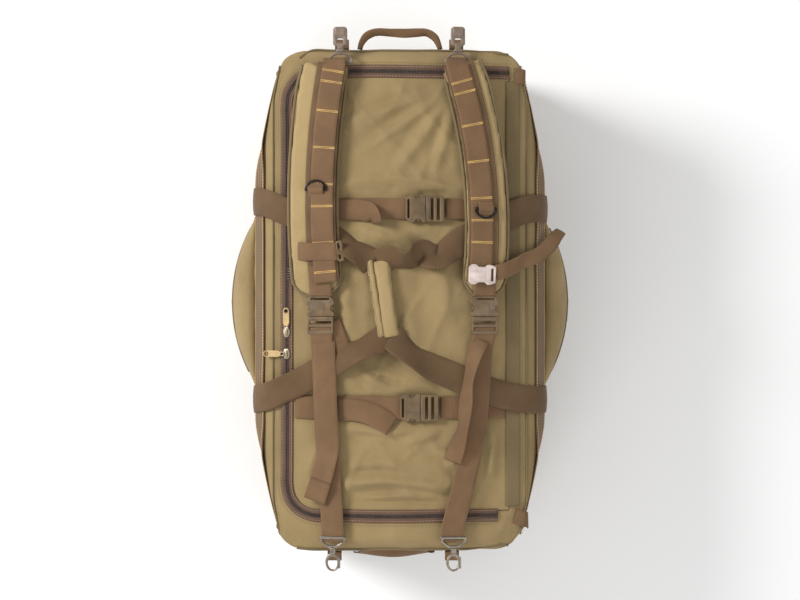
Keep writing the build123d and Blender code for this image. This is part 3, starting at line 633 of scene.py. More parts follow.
def webbing_material(name, colour, width, stripes=(), thread=None):
    """Ribbed webbing: ribs across with painted shade in the grooves between them, a lengthwise grain, worn
    edges and stitched or woven stripes.
    """
    s = Surface(name, 0.8, sheen=0.04, specular=0.25)
    split = s.node("SeparateXYZ", {0: s.space["uv"]})
    across = s.math("ABSOLUTE", split.outputs[1])
    ribs = s.bands(2.2, "X", "uv")
    grain = s.bands(2.1, "Y", "uv")
    twill = s.bands(3.4, "X", "uv", 40)
    fine = s.math("MULTIPLY", s.math("ADD", grain, twill), 0.35)
    height = s.math("ADD", s.math("MULTIPLY", ribs, 0.6), fine)
    patch = s.noise(40, 4)
    tone = s.mix(s.span(patch, 0.35, 0.65), shade(colour, 0.88), shade(colour, 1.12))
    # Painted shade: the grooves between the ribs and the twill are darkened in the colour, following their
    # height
    tone = s.mix(s.span(height, 0.2, 0.9, 0.5, 0), tone, shade(colour, 0.45))
    tone = s.mix(s.span(s.noise(1.6, 2, "uv", (1, 5, 1)), 0.5, 0.7, 0, 0.3), tone, shade(colour, 1.35))
    edge = s.span(across, (width / 2 - 2.2) * MM, (width / 2) * MM, 0, 0.45)
    tone = s.mix(edge, tone, shade(colour, 1.3))
    for centre, half, strength in stripes:
        away = s.math("ABSOLUTE", s.math("SUBTRACT", across, centre * MM))
        stripe = s.span(away, half * MM, (half + 0.8) * MM, strength, 0)
        tone = s.mix(stripe, tone, thread or shade(colour, 1.45))
    s.bump(height, 0.5, 0.4)
    s.bump(s.noise(16, 2), 0.35, 1.2)
    return s.done(tone)


def moulded_material(name, colour, roughness, texture=0.6, scuff=0.3, coat=0.0, lift=2.2):
    """Moulded plastic or rubber: fine grain, polish that varies, scuffs and dust in patches."""
    s = Surface(name, roughness, coat=coat)
    grain = s.noise(0.9, 2)
    patch = s.noise(22, 4)
    scratch = s.noise(5, 6, "object", (1, 7, 2))
    tone = s.mix(s.span(patch, 0.35, 0.65), shade(colour, 0.8), shade(colour, 1.25))
    tone = s.mix(s.span(scratch, 0.6, 0.72, 0, scuff), tone, shade(colour, lift))
    s.bump(grain, texture, 0.12)
    s.bump(patch, 0.15, 0.6)
    return s.done(tone, s.span(s.noise(14, 3), 0.3, 0.7, roughness - 0.1, roughness + 0.14))


def metal_material(name, colour, roughness):
    s = Surface(name, roughness, metallic=1.0)
    patch = s.noise(3, 4)
    tone = s.mix(s.span(patch, 0.3, 0.7), shade(colour, 0.75), colour)
    s.bump(s.noise(0.7, 2), 0.3, 0.06)
    return s.done(tone, s.span(patch, 0.3, 0.7, roughness + 0.15, roughness - 0.08))


TAN = srgb(141, 121, 84)
CLOTH = cloth_material("fabric_tan", TAN)
CLOTH_SIDE = cloth_material("fabric_tan_side", srgb(142, 122, 85))
CLOTH_BASE = cloth_material("fabric_tan_base", srgb(151, 130, 94))
CLOTH_PAD = cloth_material("fabric_tan_pad", srgb(157, 135, 95), "object", 1.0)
BROWN = srgb(115, 88, 62)
DARK_BROWN = srgb(99, 76, 52)
THREAD_YELLOW = srgb(214, 176, 104)
WEB_38 = webbing_material("webbing_38", BROWN, 38)
WEB_50 = webbing_material("webbing_50", DARK_BROWN, 50)
WEB_BAND = webbing_material("webbing_band", srgb(105, 81, 56), 52)
WEB_EDGE = webbing_material(
    "webbing_edge", srgb(96, 76, 54), 34, ((4.0, 1.2, 0.5), (12.0, 0.8, 0.6)), srgb(160, 135, 105)
)
TAPE = webbing_material("zip_tape", srgb(98, 76, 62), 16, ((7.4, 0.5, 0.6),), srgb(176, 140, 118))
COIL = moulded_material("zip_coil", srgb(58, 44, 36), 0.42)
SEAM = webbing_material("seam_binding", srgb(112, 92, 64), 6)
PIPING = cloth_material("piping", srgb(112, 96, 68), "object", 1.2)
THREAD = moulded_material("thread_yellow", THREAD_YELLOW, 0.7, scuff=0.0)
THREAD_PALE = moulded_material("thread_pale", srgb(186, 150, 124), 0.7, scuff=0.0)
THREAD_TAN = moulded_material("thread_tan", srgb(128, 110, 78), 0.75, scuff=0.0)
BUCKLE = moulded_material("plastic_brown", srgb(100, 80, 54), 0.42, lift=1.6)
HOOK = moulded_material("plastic_greybrown", srgb(112, 96, 84), 0.38, lift=1.5)
HOOK_METAL = metal_material("hook_metal", srgb(150, 140, 128), 0.38)
PALE_PLASTIC = moulded_material("plastic_pale", srgb(192, 176, 170), 0.4, lift=1.08)
RING = metal_material("ring_black", srgb(52, 50, 50), 0.3)
ZIP_METAL = metal_material("slider_metal", srgb(196, 182, 156), 0.32)
PULL = moulded_material("pull_tab", srgb(184, 156, 108), 0.6, texture=0.9, lift=1.3)
BLACK = moulded_material("plastic_black", srgb(40, 38, 40), 0.36, texture=0.5, scuff=0.35, lift=3.0)
BLACK_RAIL = moulded_material("plastic_black_rail", srgb(34, 34, 36), 0.46, texture=0.8, scuff=0.4, lift=3.2)
RUBBER = moulded_material("tyre_rubber", srgb(30, 30, 31), 0.34, texture=0.7, scuff=0.35, coat=0.15, lift=3.5)
HUB = moulded_material("hub_plastic", srgb(44, 44, 46), 0.42)
STEEL = metal_material("steel", srgb(214, 212, 208), 0.25)
BOARD = moulded_material("base_board", srgb(60, 54, 46), 0.75)

CAD_FINISH = {
    "skid_rail_left": BLACK_RAIL, "skid_rail_right": BLACK_RAIL, "rail_screws": STEEL,
    "housing_rivets": STEEL, "wheel_axles": STEEL, "base_board": BOARD,
}
for row in ("left", "mid", "right"):
    CAD_FINISH[f"wheel_housing_{row}"] = BLACK
    CAD_FINISH[f"tyre_{row}"] = RUBBER
    CAD_FINISH[f"wheel_hub_{row}"] = HUB
for node_name, finish in CAD_FINISH.items():
    node_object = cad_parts[node_name]
    node_object.data.materials.clear()
    node_object.data.materials.append(finish)

# ---------------------------------------------------------------- what presses on the lid
PAD_ROUTE = {
    "left": ((-376, -112), (-200, -130), (-48, -126)),
    "right": ((-376, 98), (-200, 133), (-48, 134)),
}
FOOT_ROUTE = {
    "left": [(30, -125), (399, -107)],
    "right": [(30, 136), (200, 122), (399, 85)],
}
LEG_LEFT = [(-164, -246), (-118, -132), (-60, -26), (56, -26), (112, -132), (167, -246)]
LEG_RIGHT = [(-132, 176), (-104, 108), (-60, -26), (56, -26), (104, 110), (134, 176)]


def arc_route(a, b, c, step=6.0):
    """Points of the arc through three plan points."""
    cx, cy, r = circle_through(a, b, c)
    t0, t1, t2 = (atan2(p[1] - cy, p[0] - cx) for p in (a, b, c))
    while t1 - t0 > pi:
        t1 -= 2 * pi
    while t0 - t1 > pi:
        t1 += 2 * pi
    while t2 - t1 > pi:
        t2 -= 2 * pi
    while t1 - t2 > pi:
        t2 += 2 * pi
    count = int(abs(t2 - t0) * r / step) + 2
    t = np.linspace(t0, t2, count)
    return np.stack([cx + r * np.cos(t), cy + r * np.sin(t)], -1)


def away_from(xy, route):
    """Distance in plan from points to a polyline."""
    best = np.full(xy.shape[:-1], 1e9)
    route = np.asarray(route, float)
    for a, b in zip(route, route[1:]):
        ab = b - a
        t = np.clip(((xy - a) @ ab) / max(ab @ ab, 1e-9), 0, 1)
        best = np.minimum(best, np.linalg.norm(xy - (a + t[..., None] * ab), axis=-1))
    return best


PRESSED = [
    ([(-148, -176), (-148, 178)], 20, 0.2), ([(175, -176), (175, 178)], 20, 0.2),
    ([(-60, -26), (56, -26)], 22, 3.0), (LEG_LEFT, 26, 6.0), (LEG_RIGHT, 26, 6.0),
    (arc_route(*PAD_ROUTE["left"]), 50, 9.0), (arc_route(*PAD_ROUTE["right"]), 43, 9.0),
    (FOOT_ROUTE["left"], 21, 8.5), (FOOT_ROUTE["right"], 21, 8.5),
    ([(-30, -126), (60, -126)], 25, 8.5), ([(-30, 134), (60, 134)], 25, 8.5),
]


def roof(xy):
    """How far above the crown the cloth may rise without meeting what lies on it."""
    room = np.full(xy.shape[:-1], 15.0)
    for route, half_width, height in PRESSED:
        room = np.minimum(room, height - 1.2 + 0.45 * np.maximum(away_from(xy, route) - half_width, 0))
    return room


# ---------------------------------------------------------------- the bag's skin
NS, NC, NE = 150, 14, 56  # points along a side, round a corner and across an end


def ring_of_points(side_z, end_z, half_width, x0, x1, corner):
    """One level of the skin, counter-clockwise seen from above, starting at the zip side's head end."""
    wide0, wide1 = half_width(x0 + corner), half_width(x1 - corner)
    xs = np.linspace(x0 + corner, x1 - corner, NS)
    t = np.arange(1, NC + 1) / (NC + 1)
    a = t * pi / 2
    blend = t * t * (3 - 2 * t)
    up, down = side_z + (end_z - side_z) * blend, end_z + (side_z - end_z) * blend
    ends1 = np.linspace(-(wide1 - corner), wide1 - corner, NE)
    ends0 = np.linspace(wide0 - corner, -(wide0 - corner), NE)
    rows = [
        np.stack([xs, -half_width(xs), np.full(NS, side_z)], -1),
        np.stack([x1 - corner + corner * np.sin(a), -(wide1 - corner) - corner * np.cos(a), up], -1),
        np.stack([np.full(NE, x1), ends1, np.full(NE, end_z)], -1),
        np.stack([x1 - corner + corner * np.cos(a), wide1 - corner + corner * np.sin(a), down], -1),
        np.stack([xs[::-1], half_width(xs[::-1]), np.full(NS, side_z)], -1),
        np.stack([x0 + corner - corner * np.sin(a), wide0 - corner + corner * np.cos(a), up], -1),
        np.stack([np.full(NE, x0), ends0, np.full(NE, end_z)], -1),
        np.stack([x0 + corner - corner * np.cos(a), -(wide0 - corner) - corner * np.sin(a), down], -1),
    ]
    return np.concatenate(rows)


def gauss(value, centre, spread):
    return np.exp(-(((value - centre) / spread) ** 2))


def wheel_end_x(z):
    """The wheel end at a height: upright, with a round foot."""
    return CORNER_X + sqrt(max(CORNER_R**2 - max(CORNER_Z - z, 0) ** 2, 0)) if z < CORNER_Z else HALF_LENGTH


def body_levels():
    """The body's grid: rings from the base up to the shoulder, then in to the lid's opening."""
    levels = []
    side_levels = np.linspace(BASE_Z, EAVES[1], 54)
    eaves_levels = np.linspace(EAVES[1], SHOULDER[1], 13)[1:]
    for z in np.concatenate([side_levels, eaves_levels]):
        share = (z - BASE_Z) / (SHOULDER[1] - BASE_Z)
        end_z = BASE_Z + share * (BEVEL_Z - BASE_Z)
        half = lambda x, z=z: smooth_min(side_y(z), plan_half_width(x), SOFTNESS)
        levels.append(ring_of_points(z, end_z, half, -HALF_LENGTH, wheel_end_x(end_z), PLAN_CORNER))
    top = levels[-1]
    lid = lid_ring(1.0)
    for s in np.linspace(0, 1, 10)[1:]:
        p = top + (lid - top) * s
        flat = crown_z(p[:, 1])
        p[:, 2] = smooth_min(flat, BEVEL_Z + HALF_LENGTH - np.abs(p[:, 0]), 4.0)
        levels.append(p)
    return np.stack(levels, 1)


def lid_ring(grow):
    """The lid's outline as a ring, square at the hinge, rounded at the zip side."""
    x0, x1, y0, y1 = LID_X0 - grow, LID_X1 + grow, LID_Y0 - grow, LID_Y1 + min(grow, 0.6)
    r = LID_CORNER + grow
    t = np.arange(1, NC + 1) / (NC + 1)
    a = t * pi / 2
    small = 2.0
    xs_low, xs_high = np.linspace(x0 + r, x1 - r, NS), np.linspace(x1 - small, x0 + small, NS)
    flat = lambda n, v: np.full(n, float(v))
    rows = [
        np.stack([xs_low, flat(NS, y0)], -1),
        np.stack([x1 - r + r * np.sin(a), y0 + r - r * np.cos(a)], -1),
        np.stack([flat(NE, x1), np.linspace(y0 + r, y1 - small, NE)], -1),
        np.stack([x1 - small + small * np.cos(a), y1 - small + small * np.sin(a)], -1),
        np.stack([xs_high, flat(NS, y1)], -1),
        np.stack([x0 + small - small * np.sin(a), y1 - small + small * np.cos(a)], -1),
        np.stack([flat(NE, x0), np.linspace(y1 - small, y0 + r, NE)], -1),
        np.stack([x0 + r - r * np.cos(a), y0 + r - r * np.sin(a)], -1),
    ]
    ring = np.concatenate(rows)
    return np.concatenate([ring, crown_z(ring[:, 1])[:, None]], 1)


# P is the grid of the body, N its normals and D how far the cloth stands off them
P = body_levels()
N = grid_normals(P, closed_u=True)
X, Y, Z = P[..., 0], P[..., 1], P[..., 2]
from_girth = np.min([np.abs(X - x) for x in GIRTH_X.values()], axis=0)
calm = np.where(Z > 268, 1.0, smooth_step(26, 48, from_girth))  # webbing holds the cloth down
calm = calm * np.maximum(smooth_step(16, 40, np.abs(Z - EDGE_WEBBING_Z)), (np.abs(X) > 372))
calm = calm * smooth_step(0, 26, Z - BASE_Z + 3)
at_wheels = (X > 330) & (Z < 128)
calm = np.where(at_wheels, 0.0, calm)
calm[:, -9:] *= (1 - np.linspace(0, 1, 10)[1:]) ** 0.7  # the rings between the shoulder and the lid
from_pocket = np.maximum(np.abs(X - POCKET_MID) - 134, 0) + np.maximum(Z - 252, 0)
D = 3.2 * noise_at(P, (150, 120, 90), 1) - 1.2
D = D + 4.6 * creases(turned_plan(P, 20), (190, 80, 55), 2, 6) - 1.6
D = D + 3.4 * creases(P * [1, 1, 1.2], (60, 110, 150), 3, 7) * smooth_step(120, 330, np.abs(X))
D = D + 1.1 * noise_at(P, 28, 4)
# Slack gathers in a ridge and a hollow where the side meets the wheel end
on_side = np.abs(Y) > 150
D = D + 6.0 * gauss(X, 318, 26) * gauss(Z, 150, 70) * on_side
D = D - 5.0 * gauss(X, 275, 20) * gauss(Z, 160, 80) * on_side
D = np.where(Z < BASE_Z + 2, 0, D)
D = np.clip(D, -9, 5.5) * calm * (0.35 + 0.65 * smooth_step(0, 18, from_pocket))
# The cloth stays low round the lid, under the shoulder piping, at the end handles and by the corner seams
from_lid = np.max([LID_X0 - X, X - LID_X1, LID_Y0 - Y, Y - LID_Y1], axis=0)
on_top = Z > 296
D = np.where(on_top, np.minimum(D, np.maximum(from_lid - 23, 0) * 0.3 - 0.3), D)
D = np.where(on_top, np.minimum(D, np.maximum(np.abs(np.abs(Y) - 208) - 3, 0) * 0.35 - 0.2), D)
D = np.where((np.abs(X) > 396) & (Z > 225), np.minimum(D, 0.5), D)
D = D * (1 - 0.6 * smooth_step(380, 402, np.abs(X)))
wheel_seam = np.vectorize(wheel_end_x)(Z) - SEAM_BACK
from_seam = np.minimum(np.abs(X + SEAM_X), np.abs(X - wheel_seam))
D = np.where(on_side & (Z < 330), np.minimum(D, 0.4 * np.maximum(from_seam - 6, 0) - 0.2), D)
D = D - 0.3 * (1 - calm) * (~at_wheels)
P = P + N * D[..., None]
UV = np.stack(np.meshgrid(distances(P[:, 40]), distances(P[60]), indexing="ij"), -1)
faces_x, faces_y, faces_z = ((P[:, :-1, k] + np.roll(P, -1, 0)[:, 1:, k]) / 2 for k in range(3))
in_well = np.min([np.abs(faces_y - row) for row in WHEEL_Y], axis=0) < 30
kept = ~((faces_x > 330) & (faces_z < 100) & in_well)
skin("body_cloth", P, 2.2, CLOTH_SIDE, "root", UV, closed_u=True, kept=kept,
     replaces="body_shell", slot="body_fabric")

# Base panel
xs = np.concatenate([np.linspace(-HALF_LENGTH, -362, 12), np.linspace(-362, 316, 120)[1:],
                     np.linspace(316, wheel_end_x(BASE_Z), 14)[1:]])
rows = []
for x in xs:
    x0, x1 = -HALF_LENGTH + PLAN_CORNER, wheel_end_x(BASE_Z) - PLAN_CORNER
    base_half = lambda q: float(smooth_min(195.0, plan_half_width(q), SOFTNESS))
    if x < x0:
        half = base_half(x0) - PLAN_CORNER + sqrt(max(PLAN_CORNER**2 - (x0 - x) ** 2, 0))
    elif x > x1:
        half = base_half(x1) - PLAN_CORNER + sqrt(max(PLAN_CORNER**2 - (x - x1) ** 2, 0))
    else:
        half = base_half(x)
    rows.append([(x, y, BASE_Z) for y in np.linspace(half, -half, 76)])
B = np.array(rows, float)
middle_y = (B[:-1, :-1, 1] + B[1:, 1:, 1]) / 2
middle_x = (B[:-1, :-1, 0] + B[1:, 1:, 0]) / 2
kept = ~((middle_x > 308) & (np.min([np.abs(middle_y - row) for row in WHEEL_Y], axis=0) < 34))
edge = smooth_step(0, 30, 190 - np.abs(B[..., 1])) * smooth_step(0, 30, np.abs(B[..., 0] + HALF_LENGTH))
B[..., 2] += edge * (1.2 + 1.0 * noise_at(B, (160, 60, 60), 8))
skin("base_cloth", B, 2.0, CLOTH_BASE, "root", B[..., :2], kept=kept, slot="body_fabric",
     replaces="body_shell")

# ---------------------------------------------------------------- lid
NX, NY = 176, 92
share_x = np.linspace(0, 1, NX)
share_x = share_x - 0.018 * np.sin(2 * pi * share_x)
lid_x = LID_X0 + (LID_X1 - LID_X0) * share_x
gap_end = np.minimum(lid_x - LID_X0, LID_X1 - lid_x)
in_corner = np.maximum(LID_CORNER - gap_end, 0)
inset = LID_CORNER - np.sqrt(np.maximum(LID_CORNER**2 - in_corner**2, 0))
share_y = np.linspace(0, 1, NY)
lid_y = (LID_Y0 + inset)[:, None] + (LID_Y1 - LID_Y0 - inset)[:, None] * share_y[None]
L = on_crown(np.broadcast_to(lid_x[:, None], lid_y.shape), lid_y)
XY = L[..., :2]
from_edge = np.minimum(gap_end[:, None], np.minimum(lid_y - (LID_Y0 + inset)[:, None], LID_Y1 - lid_y))


def fold(xy, route, width, height, trough=0.6):
    """A soft ridge along a plan route with a hollow beside it, fading at its ends."""
    route = np.asarray(route, float)
    d = away_from(xy, route)
    line = route[-1] - route[0]
    side = np.sign((xy[..., 0] - route[0, 0]) * line[1] - (xy[..., 1] - route[0, 1]) * line[0])
    run = ((xy - route[0]) @ line) / (line @ line)
    fade = smooth_step(-0.05, 0.22, run) * smooth_step(1.05, 0.7, run)
    ridge = np.exp(-((d / width) ** 2))
    hollow = np.exp(-(((d * side - 1.6 * width) / (1.1 * width)) ** 2))
    return height * fade * (ridge - trough * hollow)


# H is how far the lid's cloth stands off the crown: a slight dome, random waves and creases, then folds
H = 4.5 * smooth_step(0, 60, from_edge)
H = H + 3.6 * noise_at(L, (190, 130, 90), 11)
H = H + 2.0 * (creases(turned_plan(L, 38), (210, 70, 80), 12, 5) - 0.3) * smooth_step(120, -340, L[..., 0])
H = H + 3.2 * (creases(turned_plan(L, -28), (150, 60, 80), 13, 6) - 0.3)
H = H + 1.0 * noise_at(L, 26, 14)
FOLDS = (  # plan route, width, height
    ([(-340, 72), (-286, -92)], 9, 3.6), ([(-336, 78), (-238, -66)], 10, 4.6),
    ([(-330, 82), (-200, -12)], 12, 4.4), ([(-324, 88), (-196, 54)], 10, 3.6),
    ([(-186, -100), (-196, 0), (-178, 94)], 10, 6), ([(-172, -30), (-186, 60), (-176, 100)], 6, 4),
    ([(-118, 20), (-96, 60), (-100, 100)], 12, 7), ([(-110, -60), (-84, 0)], 10, 5),
    ([(110, -70), (150, -20), (150, 60)], 12, 6), ([(90, 40), (146, 90)], 10, 5),
    ([(206, -90), (214, -20), (204, 40)], 10, 5), ([(232, 10), (212, 70)], 8, 4),
    ([(300, -100), (292, -20), (304, 60), (296, 110)], 13, 8), ([(322, -80), (316, 10), (326, 90)], 7, 6),
    ([(270, -90), (262, -30), (276, 20)], 10, 4), ([(240, 60), (286, 110)], 10, 4),
    ([(-60, 60), (40, 76)], 22, 5), ([(-40, -90), (60, -84)], 14, 4), ([(20, 20), (90, 10)], 16, 4),
    ([(-290, -150), (-180, -158)], 8, 3), ([(200, 150), (300, 150)], 9, 3),
)
for route, width, height in FOLDS:
    H = H + fold(XY, route, 0.85 * width, 1.35 * height)
H = smooth_min(H, roof(XY), 2.5)
H = np.maximum(H, -9) * smooth_step(-2, 26, from_edge) - 0.5
L = L + crown_up(lid_y) * H[..., None]
lid_cloth = skin("lid_cloth", L, 2.2, CLOTH, "lid", L[..., :2], replaces="lid_panel", slot="body_fabric")

stitching, pale_stitching, tack_stitching = Stitching(), Stitching(), Stitching()


def skin_path(controls, step=5.0):
    """A line over the bag through (x, run, lift, roll) controls; run is signed by side."""
    rows = resample([tuple(c) + (0.0,) * (4 - len(c)) for c in controls], step)
    points, ups = [], []
    for x, run, lift, _ in rows:
        p, n = rib(x, 1 if run >= 0 else -1, abs(run), lift)
        points.append(p)
        ups.append(n)
    return np.array(points), np.array(ups), rows[:, 3]


def offset_across(path, up, amount):
    across, _ = path_frame(path, up)
    return path + across * amount


def sew_edges(body, path, up, half_width, raised, stitch=stitching):
    for sign in (-1, 1):
        stitch.seam(body, offset_across(path, up, sign * half_width), up, raised=raised)


# ---------------------------------------------------------------- main zip
def zip_line(offset, wave=1.4):
    """The line round the lid at a distance outside its edge, from the hinge's head end to its foot end."""
    r = LID_CORNER + offset
    x0, x1, y0 = LID_X0 - offset, LID_X1 + offset, LID_Y0 - offset
    a = np.linspace(0, pi / 2, 14)
    head = [(x0, y) for y in np.linspace(178, LID_Y0 + LID_CORNER + 4, 50)]
    corner = [(LID_X0 + LID_CORNER - r * cos(t), LID_Y0 + LID_CORNER - r * sin(t)) for t in a]
    side = [(x, y0) for x in np.linspace(LID_X0 + LID_CORNER + 4, LID_X1 - LID_CORNER - 4, 120)]
    corner2 = [(LID_X1 - LID_CORNER + r * sin(t), LID_Y0 + LID_CORNER - r * cos(t)) for t in a]
    foot = [(x1, y) for y in np.linspace(LID_Y0 + LID_CORNER + 4, 178, 50)]
    xy = np.array(head + corner + side + corner2 + foot)
    sway = np.array([noise.noise(Vector((i * 0.045, 3.3, 0))) for i in range(len(xy))]) * wave
    ends = np.minimum(smooth_step(0, 30, np.arange(len(xy))), smooth_step(0, 30, np.arange(len(xy))[::-1]))
    near_sliders = 1 - np.exp(-(((xy[:, 0] - 70) / 60) ** 2)) * (xy[:, 1] < -150)
    xy[:, 1] += sway * ends * near_sliders * (np.abs(xy[:, 1] - y0) < 1)
    xy[:, 0] += sway * 1.6 * ends * (np.abs(xy[:, 1] - y0) >= 1)
    return resample(np.column_stack([xy, np.zeros(len(xy))])[:: 4], 4.0)[:, :2]


def zip_points(offset, lift):
    xy = zip_line(offset)
    return on_crown(xy[:, 0], xy[:, 1], lift), crown_up(xy[:, 1])


for label, centre, width, lift, body in (("outer", 12.9, 10.4, 1.0, "root"), ("inner", 2.2, 9.2, 1.2, "lid")):
    path, up = zip_points(centre, lift)
    ribbon(f"zip_tape_{label}", path, up, width, TAPE, body, thickness=0.9, slot="zip_tape",
           replaces="main_zip" if label == "outer" else ())
    line, line_up = zip_points(centre + (2.6 if label == "outer" else -2.4), lift + 0.5)
    pale_stitching.seam(body, line, line_up, length=3.4, gap=1.6)
    line, line_up = zip_points(8.9 if label == "outer" else 6.1, 1.9)
    teeth = resample(line, 2.1)
    teeth_up = crown_up(teeth[:, 1])
    across, _ = path_frame(teeth, teeth_up)
    capsules(f"zip_coil_{label}", teeth, across, teeth_up, 3.4, 0.85, COIL, body, slot="zip_tape")
line, line_up = zip_points(22.5, 0.9)
stitching.seam("root", line, line_up)

# ---------------------------------------------------------------- straps, cords and mouldings
def strap(name, controls, width, body, material=WEB_38, sewn=None, **more):
    """Webbing over the bag through skin_path controls, sewn at its edges if asked."""
    path, up, roll = skin_path(controls)
    if sewn:
        sew_edges(body, path, up, *sewn)
    return ribbon(name, path, up, width, material, body, roll=roll, slot="webbing", **more)


def cord(name, path, up, radius, material, body, steps=8, closed=False, **more):
    """A round cord along a path."""
    across, true_up = path_frame(path, up, closed)
    return sweep(
        name, path, across, true_up, round_section(radius, steps), material, body, closed=closed, **more
    )


class Moulding:
    """Rounded plates of one material in one place, joined into one piece."""

    def __init__(self, place, material):
        self.place, self.material, self.parts = place, material, []

    def add(self, outline, thickness, bevel, height=0.0, holes=()):
        place = shifted(self.place, 0, 0, height)
        self.parts.append(plate("moulded", outline, holes, thickness, bevel, place, self.material))

    def join(self, name, body, replaces=()):
        joined(name, self.parts, body, replaces)


def mirrored(half, radius):
    """A closed outline from its half at positive y, with rounded corners."""
    return rounded([(x, -y) for x, y in half] + [(x, y) for x, y in reversed(half)], radius)


def ellipse(x, y, rx, ry, steps):
    return [(x + rx * cos(t), y + ry * sin(t)) for t in np.linspace(0, 2 * pi, steps, endpoint=False)]


# Seam binding along the hinge
hinge = strap("hinge_binding", [(x, 186.5, 1.3) for x in np.linspace(LID_X0 + 6, LID_X1 - 6, 12)], 24, None,
              PIPING, thickness=1.2, arch=0.4, replaces="hinge_seam_tape")
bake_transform(hinge)

# ---------------------------------------------------------------- seams and webbing on the body
for label, side in SIDES.items():
    xs = np.linspace(-SEAM_X, SEAM_X, 60)
    sway = [noise.noise(Vector((x / 90, side * 2.0, 1.0))) * 3.0 for x in xs]
    rows = [(x, side * (run_to_height(x, EDGE_WEBBING_Z - 10) - 12 + s), 0.65) for x, s in zip(xs, sway)]
    strap(f"edge_webbing_{label}", rows, 34, "root", WEB_EDGE, thickness=1.7, arch=0.5,
          replaces="edge_webbing", sewn=(14.6, 1.2, tack_stitching))
    for where, x in GIRTH_X.items():
        rows = [(x, side * run_to_height(x, z), 1.3) for z in np.linspace(266, 19, 14)]
        strap(f"girth_{label}_{where}", rows, 49, "root", WEB_50, thickness=1.7, arch=0.4,
              replaces="girth_webbing", sewn=(21.5, 1.2))
    # Piped seam along the shoulder, outside the zip
    xs = np.linspace(-384, 384, 60)
    path, up, _ = skin_path([(x, side * (211 - 0.22 * max(abs(x) - 330, 0)), 0.6) for x in xs])
    cord(f"shoulder_piping_{label}", path, up, 1.5, PIPING, "root", slot="body_fabric")
    stitching.seam("root", offset_across(path, up, 4.5), up, raised=0.4)

for label, side in SIDES.items():
    for where, end in ENDS.items():
        # A bound seam down each corner takes the ends of the edge webbing
        rows = []
        for z in np.linspace(322, 30, 24):
            x = -SEAM_X if end < 0 else wheel_end_x(z) - SEAM_BACK
            rows.append((x, side * run_to_height(x, z), 1.0))
        strap(f"corner_seam_{where}_{label}", rows, 9, "root", SEAM, thickness=2.4, arch=0.8)

# Piping round both ends, on the edge between the end panel and the top and sides
for where, end in ENDS.items():
    near_bevel = P[:, 58:74]
    edge = np.array([column[np.argmin(np.abs(column[:, 2] - (BEVEL_Z - 1)))] for column in near_bevel])
    edge = edge[edge[:, 0] * end > HALF_LENGTH - 22]
    edge = edge[np.argsort(edge[:, 1])]
    path = resample(edge[::5], 5)
    up = np.tile(unit(np.array([end * 0.7, 0, 0.7])), (len(path), 1))
    cord(f"end_piping_{where}", path + up * 0.8, up, 1.9, PIPING, "root", slot="body_fabric")

# Piping round the base, open at the wheels
PIPED_X, PIPED_Y, PIPED_R, PIPED_END = -399, 188, 40, 288
turn_x, turn_y = PIPED_X + PIPED_R, PIPED_Y - PIPED_R
quarter = np.linspace(0.1, pi / 2, 10)
left = [(x, -PIPED_Y) for x in np.linspace(PIPED_END, turn_x, 60)]
corner = [(turn_x - PIPED_R * sin(t), -turn_y - PIPED_R * cos(t)) for t in quarter]
head = [(PIPED_X, y) for y in np.linspace(-144, 144, 30)]
corner2 = [(turn_x - PIPED_R * cos(t), turn_y + PIPED_R * sin(t)) for t in quarter]
right = [(x, PIPED_Y) for x in np.linspace(-355, PIPED_END, 60)]
path = np.array([(x, y, BASE_Z - 0.8) for x, y in left + corner + head + corner2 + right])
cord("base_piping_cord", path, np.tile([0.0, 0.0, -1.0], (len(path), 1)), 1.6, SEAM, "root",
     replaces="base_piping", slot="zip_tape")

# ---------------------------------------------------------------- side pockets
POCKET_X0, POCKET_X1, POCKET_HALF = -138.0, 143.0, 140.5
POCKET_AXIS_Y, POCKET_R, POCKET_ZIP_Z, POCKET_TOP_Z = 15.247, 266.753, 205.0, 263
FULLEST = 0.76  # where between the lower and the top seam the pocket stands out most


def pocket_low(x):
    """Height of the pocket's lower seam, and its share of the full depth."""
    share = np.clip(1 - ((x - POCKET_MID) / POCKET_HALF) ** 2, 0, 1)
    return 26 + 46 * share**0.8, share


def pocket_point(side, x, b, lift=0.0, folds=True):
    """A point of the pocket: x along the bag, b from the lower seam (0) to the top seam (1)."""
    x, b = np.broadcast_arrays(np.asarray(x, float), np.asarray(b, float))
    low, share = pocket_low(x)
    z = low + (POCKET_TOP_Z - low) * b
    body = smooth_min(side_y(z), plan_half_width(x), SOFTNESS)
    at_zip = smooth_min(side_y(POCKET_ZIP_Z), plan_half_width(x), SOFTNESS)
    arc = POCKET_AXIS_Y + np.sqrt(POCKET_R**2 - (x - POCKET_MID) ** 2)
    below = np.maximum(1 - b / FULLEST, 0) ** 2.2
    above = np.maximum((b - FULLEST) / (1 - FULLEST), 0) ** 2.4
    rise = np.sqrt(np.clip(1 - below - above, 0, 1))
    out = body + np.maximum(arc - at_zip, 0) * rise + 1.0 + lift
    if folds:
        gather = np.cos(2 * pi * (x - POCKET_MID) / 21 + 1.7 * np.sin(x / 31.0 + side)) * np.exp(-b * 5.5)
        q = np.stack([x, out * side, z], -1)
        soft = smooth_step(0, 0.12, b) * smooth_step(1, 0.9, b) * smooth_step(0, 0.25, share)
        out = out + 2.4 * gather * smooth_step(0, 0.05, b) * smooth_step(0, 0.3, share)
        slack = 3.0 * noise_at(q, (70, 60, 45), 21 + side)
        slack = slack + 3.2 * (creases(q, (60, 60, 90), 22 + side, 5) - 0.3)
        out = out + slack * soft * smooth_step(0.02, 0.12, np.abs(b - FULLEST))
        out = np.minimum(out, 285.5)
    return np.stack([x, side * out, z], -1)


